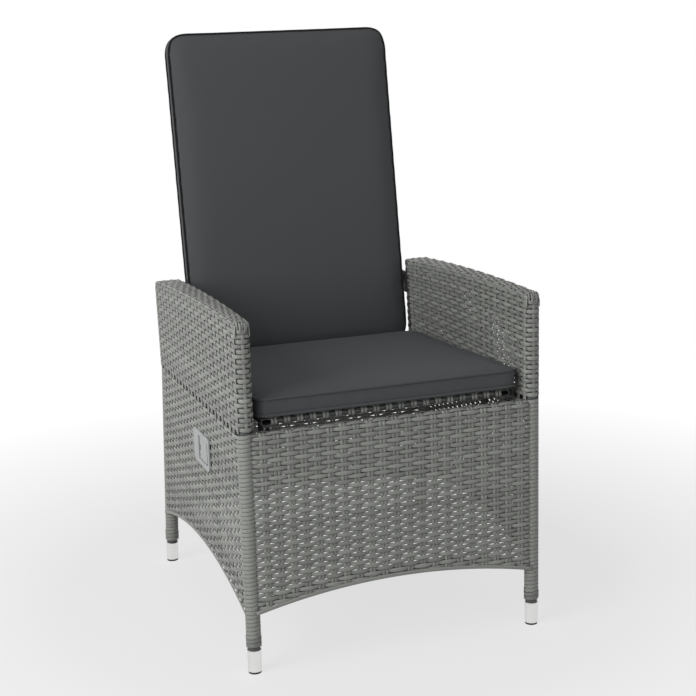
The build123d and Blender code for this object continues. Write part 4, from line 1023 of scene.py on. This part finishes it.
def metal_finish(name, base, roughness, lines=0.0):
    """Bare metal with fine turned or brushed lines."""
    f = Finish(name, Metallic=1.0)
    place = f.object_place()
    node = f.node("ShaderNodeVectorMath", {"operation": "MULTIPLY"})
    f.link(node.inputs[0], place)
    node.inputs[1].default_value = (60.0, 60.0, 60.0 + lines)
    grain = f.noise(node.outputs[0], 1.0, 4.0)
    f.set("Base Color", f.mixed(grain, tinted(base, 0.88), tuple(base)))
    f.set("Roughness", grain * 0.18 + roughness)
    f.bump(grain, 0.0001, 0.35)
    return f.material


def coat_finish(name, base, roughness, grain_scale=900.0, depth=0.0001):
    """Painted or moulded surface with a fine grain and slightly uneven tone."""
    f = Finish(name)
    place = f.object_place()
    grain, slow = f.noise(place, grain_scale, 3.0), f.noise(place, 25.0, 2.0)
    f.set("Base Color", f.mixed(slow, tinted(base, 0.85), tinted(base, 1.15)))
    f.set("Roughness", grain * 0.15 + slow * 0.08 + roughness)
    f.bump(grain, depth, 0.5)
    return f.material


def paint(piece, material):
    """Give a piece its one material."""
    piece.data.materials.clear()
    piece.data.materials.append(material)


def material(name, make, *arguments):
    """The material of this name, made the first time it is asked for."""
    return bpy.data.materials.get(name) or make(name, *arguments)


# ---------------------------------------------------------------- operators

def add(name, mesh, body, finish, nodes=()):
    """A new piece on a body, with its finish, slot and the CAD nodes that it stands for."""
    mesh.name = name
    piece = new_object(name, mesh)
    paint(piece, finish)
    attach(piece, body)
    if nodes:
        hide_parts(*nodes)
    return piece


def add_woven(context, made, body, nodes):
    """Add woven meshes to a body; nodes gives the CAD node that a mesh stands for."""
    finish = material("woven_strand", strand_finish, context.scene.chair_colours)
    for name, mesh in made:
        add(name, mesh, body, finish, nodes.get(name, ()))


class CHAIR_OT_sides(bpy.types.Operator):
    """Weave both arms and side walls"""
    bl_idname = "chair.sides"
    bl_label = "Weave sides"

    def execute(self, context):
        weave = Weave(Lines(context.scene))
        for left in (False, True):
            tag = "left" if left else "right"
            nodes = {"side_rows_" + tag: ("side_weave_" + tag,), "arm_loops_" + tag: ("inner_weave_" + tag,),
                     "arm_rows_" + tag: ("arm_weave_" + tag,)}
            add_woven(context, side_pieces(weave, left), "frame", nodes)
        return {"FINISHED"}


class CHAIR_OT_aprons(bpy.types.Operator):
    """Weave the front apron and the rear skirt"""
    bl_idname = "chair.aprons"
    bl_label = "Weave aprons"

    def execute(self, context):
        g = Lines(context.scene)
        weave, s = Weave(g), g.s
        front = Apron(g, g.wall_x(s.leg_front_y) - g.wrap_r - APRON_GAP, s.apron_z, (0, g.y0, 0), (0, 0, 1), (0, -1, 0),
                      g.w.front_count)
        lean = g.leg_lean
        up, out = (0, -math.sin(lean), math.cos(lean)), (0, math.cos(lean), math.sin(lean))
        origin = np.array([0, s.leg_foot_y, 0]) + np.array(out) * g.wrap_r
        rear = Apron(g, g.wall_x(s.leg_knee_y) - g.wrap_r - APRON_GAP, s.skirt_z, origin, up, out, g.w.front_count)
        for apron, name, rise, seed in ((front, "front", s.arch_front, 101), (rear, "rear", s.arch_rear, 121)):
            add_woven(context, apron.pieces(weave, name, rise, seed), "frame", {name + "_rows": (name + "_weave",)})
        return {"FINISHED"}


class CHAIR_OT_back_weave(bpy.types.Operator):
    """Weave the back over its hoop"""
    bl_idname = "chair.back_weave"
    bl_label = "Weave back"

    def execute(self, context):
        made = back_pieces(Weave(Lines(context.scene)))
        add_woven(context, made, "backrest", {"back_rows": ("back_weave",)})
        return {"FINISHED"}


class CHAIR_OT_seat_weave(bpy.types.Operator):
    """Weave the seat over its rails"""
    bl_idname = "chair.seat_weave"
    bl_label = "Weave seat"

    def execute(self, context):
        made = seat_pieces(Weave(Lines(context.scene)))
        add_woven(context, made, "seat", {"seat_rows": ("seat_weave",)})
        return {"FINISHED"}


class CHAIR_OT_leg_wraps(bpy.types.Operator):
    """Wind strands round the four legs, with a collar over each sleeve"""
    bl_idname = "chair.leg_wraps"
    bl_label = "Wrap legs"

    def execute(self, context):
        g = Lines(context.scene)
        s = g.s
        front_x = g.wall_x(s.leg_front_y) - g.wrap_r
        foot_x, knee_x = g.wall_x(s.leg_foot_y) - g.wrap_r, g.wall_x(s.leg_knee_y) - g.wrap_r
        legs = (("front", (front_x, s.leg_front_y, 0), (front_x, s.leg_front_y, 1), s.apron_z),
                ("rear", (foot_x, s.leg_foot_y, 0), (knee_x, s.leg_knee_y, s.leg_knee_z), s.apron_z))
        low = s.foot_z + g.w.wrap_w / 2
        for number, (end, foot, head, top) in enumerate(legs):
            for side, tag in ((1, "right"), (-1, "left")):
                foot_at, head_at = foot * np.array([side, 1, 1]), head * np.array([side, 1, 1])
                made = [(f"{end}_{part}_{tag}", wrap_mesh(part, g, foot_at, head_at, low, high, lift, seed + number))
                        for part, high, lift, seed in (("wrap", top, 0.0, 140),
                                                       ("collar", low + g.w.collar_h, COLLAR_LIFT, 150))]
                add_woven(context, made, "frame", {"front_wrap_right": ("leg_wraps",)})
        return {"FINISHED"}


def back_place(g):
    """Placing function of the back cushion: across, up the slope, forward."""
    middle = g.s.back_r + g.s.weave_t + g.s.soft_gap + g.s.cushion_t / 2
    return lambda x, y, z: g.tilted(x, y, z + middle)


def seat_place(g):
    """Placing function of the seat cushion: across, to the rear, up."""
    middle = g.s.seat_rail_h / 2 + g.s.weave_t + g.s.soft_gap + g.s.seat_pad_t / 2
    return lambda x, y, z: g.seated(x, y, z + middle)


def seam_mesh(name, pad, line, radius, sink):
    """Piping along a seam: a closed tube whose line is drawn onto the pad and sunk into it a little."""
    mesh = pad.data
    tree = BVHTree.FromPolygons(positions(mesh), [p.vertices[:] for p in mesh.polygons])
    hits = [tree.find_nearest(Vector(p)) for p in line]
    spots = np.array([hit[0][:] for hit in hits])
    normals = np.array([hit[1][:] for hit in hits])
    for _ in range(4):
        spots = (np.roll(spots, 1, 0) + 2 * spots + np.roll(spots, -1, 0)) / 4
        normals = unit(np.roll(normals, 1, 0) + 2 * normals + np.roll(normals, -1, 0))
    return tube_mesh(name, spots + normals * (radius - sink), normals, radius)


def make_cushion(context, place, outline, pad_data, seams, radius, cord):
    """A filled cushion with piping along both seams.

    The crowned pad is blown up as cloth within a small cap and smoothed. pad_data is its name, body, CAD node,
    thickness, band, fill (not used) and seed.
    """
    name, body, node, thick, band, fill, seed = pad_data
    fabric = material("cushion_fabric", fabric_finish, context.scene.chair_colours.fabric)
    vertices, faces = pad_mesh(outline, thick, band, ripples(outline, *PUCKER, seed))
    pad = add(name, mesh_from(name, placed(vertices, place), faces), body, fabric, (node,))
    swell(pad)
    paint(pad, fabric)
    subdivided(pad, 1)
    apply_modifiers(pad)
    for title, z in zip(seams, (band / 2, -band / 2)):
        line = place(outline[:, 0], outline[:, 1], np.full(len(outline), z))
        add(title, seam_mesh(title, pad, line, radius, radius * CORD_SINK), body, cord or fabric)


class CHAIR_OT_back_cushion(bpy.types.Operator):
    """Make the back cushion with its piping"""
    bl_idname = "chair.back_cushion"
    bl_label = "Back cushion"

    def execute(self, context):
        g = Lines(context.scene)
        s = g.s
        outline = pad_outline(s.cushion_half - s.seam_inset, s.cushion_half - s.seam_inset,
                              s.cushion_low + s.seam_inset, s.cushion_high - s.seam_inset, 0.036)
        pad_data = ("back_pad", "backrest", "back_cushion", s.cushion_t - 0.004, s.cushion_t * 0.6, 0.75, 201)
        cord = material("black_piping", fabric_finish, context.scene.chair_colours.piping, 1500.0)
        make_cushion(context, back_place(g), outline, pad_data, ("back_piping_front", "back_piping_rear"), 0.0024,
                     cord)
        return {"FINISHED"}


class CHAIR_OT_seat_cushion(bpy.types.Operator):
    """Make the seat cushion with its piping"""
    bl_idname = "chair.seat_cushion"
    bl_label = "Seat cushion"

    def execute(self, context):
        g = Lines(context.scene)
        s = g.s
        front = (s.seat_pad_front - s.hinge_y) / math.cos(g.slope)
        face = s.back_r + s.weave_t + s.soft_gap + s.cushion_t
        rear_y = float(g.tilted(0.0, 0.0, face)[1])
        rear = (rear_y - s.hinge_y) / math.cos(g.slope) - s.pad_rear_gap
        half_front = float(g.inner_x(s.seat_pad_front)) - s.pad_side_gap
        half_rear = float(g.inner_x(rear_y)) - s.pad_side_gap
        outline = pad_outline(half_front - s.seam_inset, half_rear - s.seam_inset, front + s.seam_inset,
                              rear - s.seam_inset, 0.024)
        pad_data = ("seat_pad", "seat", "seat_cushion", s.seat_pad_t - 0.003, s.seat_pad_t * 0.8, 0.7, 231)
        make_cushion(context, seat_place(g), outline, pad_data, ("seat_piping_top", "seat_piping_low"), 0.0028, None)
        return {"FINISHED"}


def part_finishes(c):
    """Material name, maker, its values, and the CAD nodes that have it."""
    return (
        ("powder_coat", coat_finish, (c.tube, 0.42, 700.0, 0.00012),
         "front_legs rear_legs arm_tubes side_rails inner_side_rails side_arch_rails front_top_rail front_arch_rail "
         "rear_top_rail rear_arch_rail arm_inner_rods pivot_brackets guide_plates guide_hangers strut_bracket "
         "handle_bar back_hoop back_cross_bars seat_side_rails seat_cross_rails strut_lug"),
        ("bright_sleeve", metal_finish, (c.bright, 0.22, 900.0), "leg_sleeves"),
        ("glide_plastic", coat_finish, (c.dark, 0.55), "leg_glides"),
        ("zinc_steel", metal_finish, ((0.55, 0.55, 0.54), 0.32, 400.0),
         "pivot_bolts pivot_nuts hinge_bolts hinge_nuts guide_pins strut_front_pin strut_rear_pin handle_screws "
         "paddle_pin return_spring strut_head release_lever"),
        ("bush_plastic", coat_finish, (c.dark, 0.5), "pivot_bushes hinge_bushes guide_bushes"),
        ("strut_black", coat_finish, (tinted(c.dark, 0.6), 0.18, 400.0, 0.00004), "strut_tube"),
        ("polished_shaft", metal_finish, ((0.75, 0.75, 0.77), 0.08, 900.0), "strut_rod"),
        ("handle_plastic", coat_finish, (c.handle, 0.38, 1400.0, 0.00008), "handle_plate release_paddle"),
        ("cup_plastic", coat_finish, (c.dark, 0.5), "handle_cup"),
        ("cable_sheath", coat_finish, (tinted(c.dark, 0.7), 0.4), "release_cable"),
        ("elastic_strap", fabric_finish, (tinted(c.piping, 1.6), 1800.0), "back_cushion_strap"),
    )


class CHAIR_OT_finishes(bpy.types.Operator):
    """Give every CAD piece that stays in view its finish"""
    bl_idname = "chair.finishes"
    bl_label = "Finish frame parts"

    def execute(self, context):
        for name, make, values, nodes in part_finishes(context.scene.chair_colours):
            made = material(name, make, *values)
            for node in nodes.split():
                paint(frame["nodes"][node], made)
        return {"FINISHED"}


class CHAIR_OT_stage(bpy.types.Operator):
    """Set up the floor, the lights, the white surround and the camera"""
    bl_idname = "chair.stage"
    bl_label = "Stage"

    def execute(self, context):
        scene = context.scene
        c = scene.chair_colours
        scene.view_settings.view_transform = "Standard"
        corners = np.array([[-1, -1, 0], [1, -1, 0], [1, 1, 0], [-1, 1, 0]], float) * FLOOR_HALF
        floor = new_object("studio_floor", mesh_from("studio_floor", corners, [np.array([[0, 1, 2, 3]])]))
        paint(floor, floor_finish(c.floor))
        scene.world = bpy.data.worlds.new("studio")
        scene.world.use_nodes = True
        tree = scene.world.node_tree
        ground = tree.nodes["Background"]
        ground.inputs["Color"].default_value = (1.0, 1.0, 1.0, 1.0)
        ray = tree.nodes.new("ShaderNodeLightPath")
        mix = tree.nodes.new("ShaderNodeMapRange")
        mix.inputs["To Min"].default_value = SURROUND
        mix.inputs["To Max"].default_value = 1.0
        seen = Value(tree, ray.outputs["Is Camera Ray"]) + Value(tree, ray.outputs["Is Transmission Ray"])
        seen = (seen + Value(tree, ray.outputs["Is Glossy Ray"])).clamped()
        tree.links.new(seen.socket, mix.inputs["Value"])
        tree.links.new(mix.outputs[0], ground.inputs["Strength"])
        for light in LIGHTS:
            area_light(*light)
        add_camera(scene)
        return {"FINISHED"}


def floor_finish(base):
    """Pale studio floor: diffuse under the lamps, and seen by the camera mostly as white, fully white further out."""
    f = Finish("studio_floor", Roughness=0.9)
    place = f.object_place()
    f.set("Base Color", f.mixed(f.noise(place, 3.0), tinted(base, 0.97), tuple(base)))
    away = f.value(f.node("ShaderNodeVectorMath", {"operation": "LENGTH"}, Vector=place), "Value")
    share = ((away - 0.55) * 1.1).clamped() * 0.3 + 0.7
    ray = f.node("ShaderNodeLightPath")
    seen = f.value(ray, "Is Camera Ray") + f.value(ray, "Is Glossy Ray")
    white = f.node("ShaderNodeEmission", Color=(1.0, 1.0, 1.0), Strength=1.0)
    mix = f.tree.nodes.new("ShaderNodeMixShader")
    f.link(mix.inputs[0], (seen.clamped() * share).clamped())
    f.link(mix.inputs[1], f.shader.outputs[0])
    f.link(mix.inputs[2], white.outputs[0])
    f.link(f.tree.nodes["Material Output"].inputs["Surface"], mix.outputs[0])
    return f.material


def area_light(name, at, target, size, power):
    """Square soft light aimed at a point."""
    data = bpy.data.lights.new(name, "AREA")
    data.size = size
    data.energy = power
    lamp = bpy.data.objects.new(name, data)
    lamp.location = at
    lamp.rotation_euler = (Vector(target) - Vector(at)).to_track_quat("-Z", "Y").to_euler()
    bpy.context.scene.collection.objects.link(lamp)


def add_camera(scene):
    """Camera at the photograph's angle: a long lens slightly above the arms, a little to the left."""
    data = bpy.data.cameras.new("camera")
    data.lens, data.sensor_width = LENS, SENSOR
    camera = bpy.data.objects.new("camera", data)
    a, e, roll = math.radians(AZIMUTH), math.radians(ELEVATION), math.radians(ROLL)
    back = Vector((math.sin(a) * math.cos(e), -math.cos(a) * math.cos(e), math.sin(e)))
    target = Vector(TARGET)
    camera.matrix_world = (Matrix.Translation(target + back * DISTANCE)
                           @ (-back).to_track_quat("-Z", "Y").to_matrix().to_4x4() @ Matrix.Rotation(roll, 4, "Z"))
    scene.collection.objects.link(camera)
    scene.camera = camera


OPERATORS = (CHAIR_OT_sides, CHAIR_OT_aprons, CHAIR_OT_back_weave, CHAIR_OT_seat_weave, CHAIR_OT_leg_wraps,
             CHAIR_OT_back_cushion, CHAIR_OT_seat_cushion, CHAIR_OT_finishes, CHAIR_OT_stage)


class CHAIR_PT_panel(bpy.types.Panel):
    """Sizes, strands, colours and steps of the chair"""
    bl_label = "Woven armchair"
    bl_idname = "CHAIR_PT_panel"
    bl_space_type = "VIEW_3D"
    bl_region_type = "UI"
    bl_category = "Chair"

    def draw(self, context):
        for operator in OPERATORS:
            self.layout.operator(operator.bl_idname)
        for group in (context.scene.chair_sizes, context.scene.chair_strands, context.scene.chair_colours):
            box = self.layout.box()
            for name in group.__annotations__:
                box.prop(group, name)


GROUPS = {"chair_sizes": ChairSizes, "chair_strands": ChairStrands, "chair_colours": ChairColours}


def register():
    """Make the settings, steps and panel known to Blender."""
    for name, group in GROUPS.items():
        bpy.utils.register_class(group)
        setattr(bpy.types.Scene, name, bpy.props.PointerProperty(type=group))
    for operator in OPERATORS:
        bpy.utils.register_class(operator)
    bpy.utils.register_class(CHAIR_PT_panel)


def unregister():
    """Take them away again."""
    bpy.utils.unregister_class(CHAIR_PT_panel)
    for operator in reversed(OPERATORS):
        bpy.utils.unregister_class(operator)
    for name, group in GROUPS.items():
        delattr(bpy.types.Scene, name)
        bpy.utils.unregister_class(group)


def main():
    """Build the whole scene."""
    register()
    kept = set(frame["nodes"].values()) | set(frame["bodies"].values())
    for spare in [o for o in bpy.context.scene.objects if o not in kept]:
        bpy.data.objects.remove(spare)
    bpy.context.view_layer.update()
    for operator in OPERATORS:
        area, name = operator.bl_idname.split(".")
        getattr(getattr(bpy.ops, area), name)()


if __name__ == "__main__":
    main()
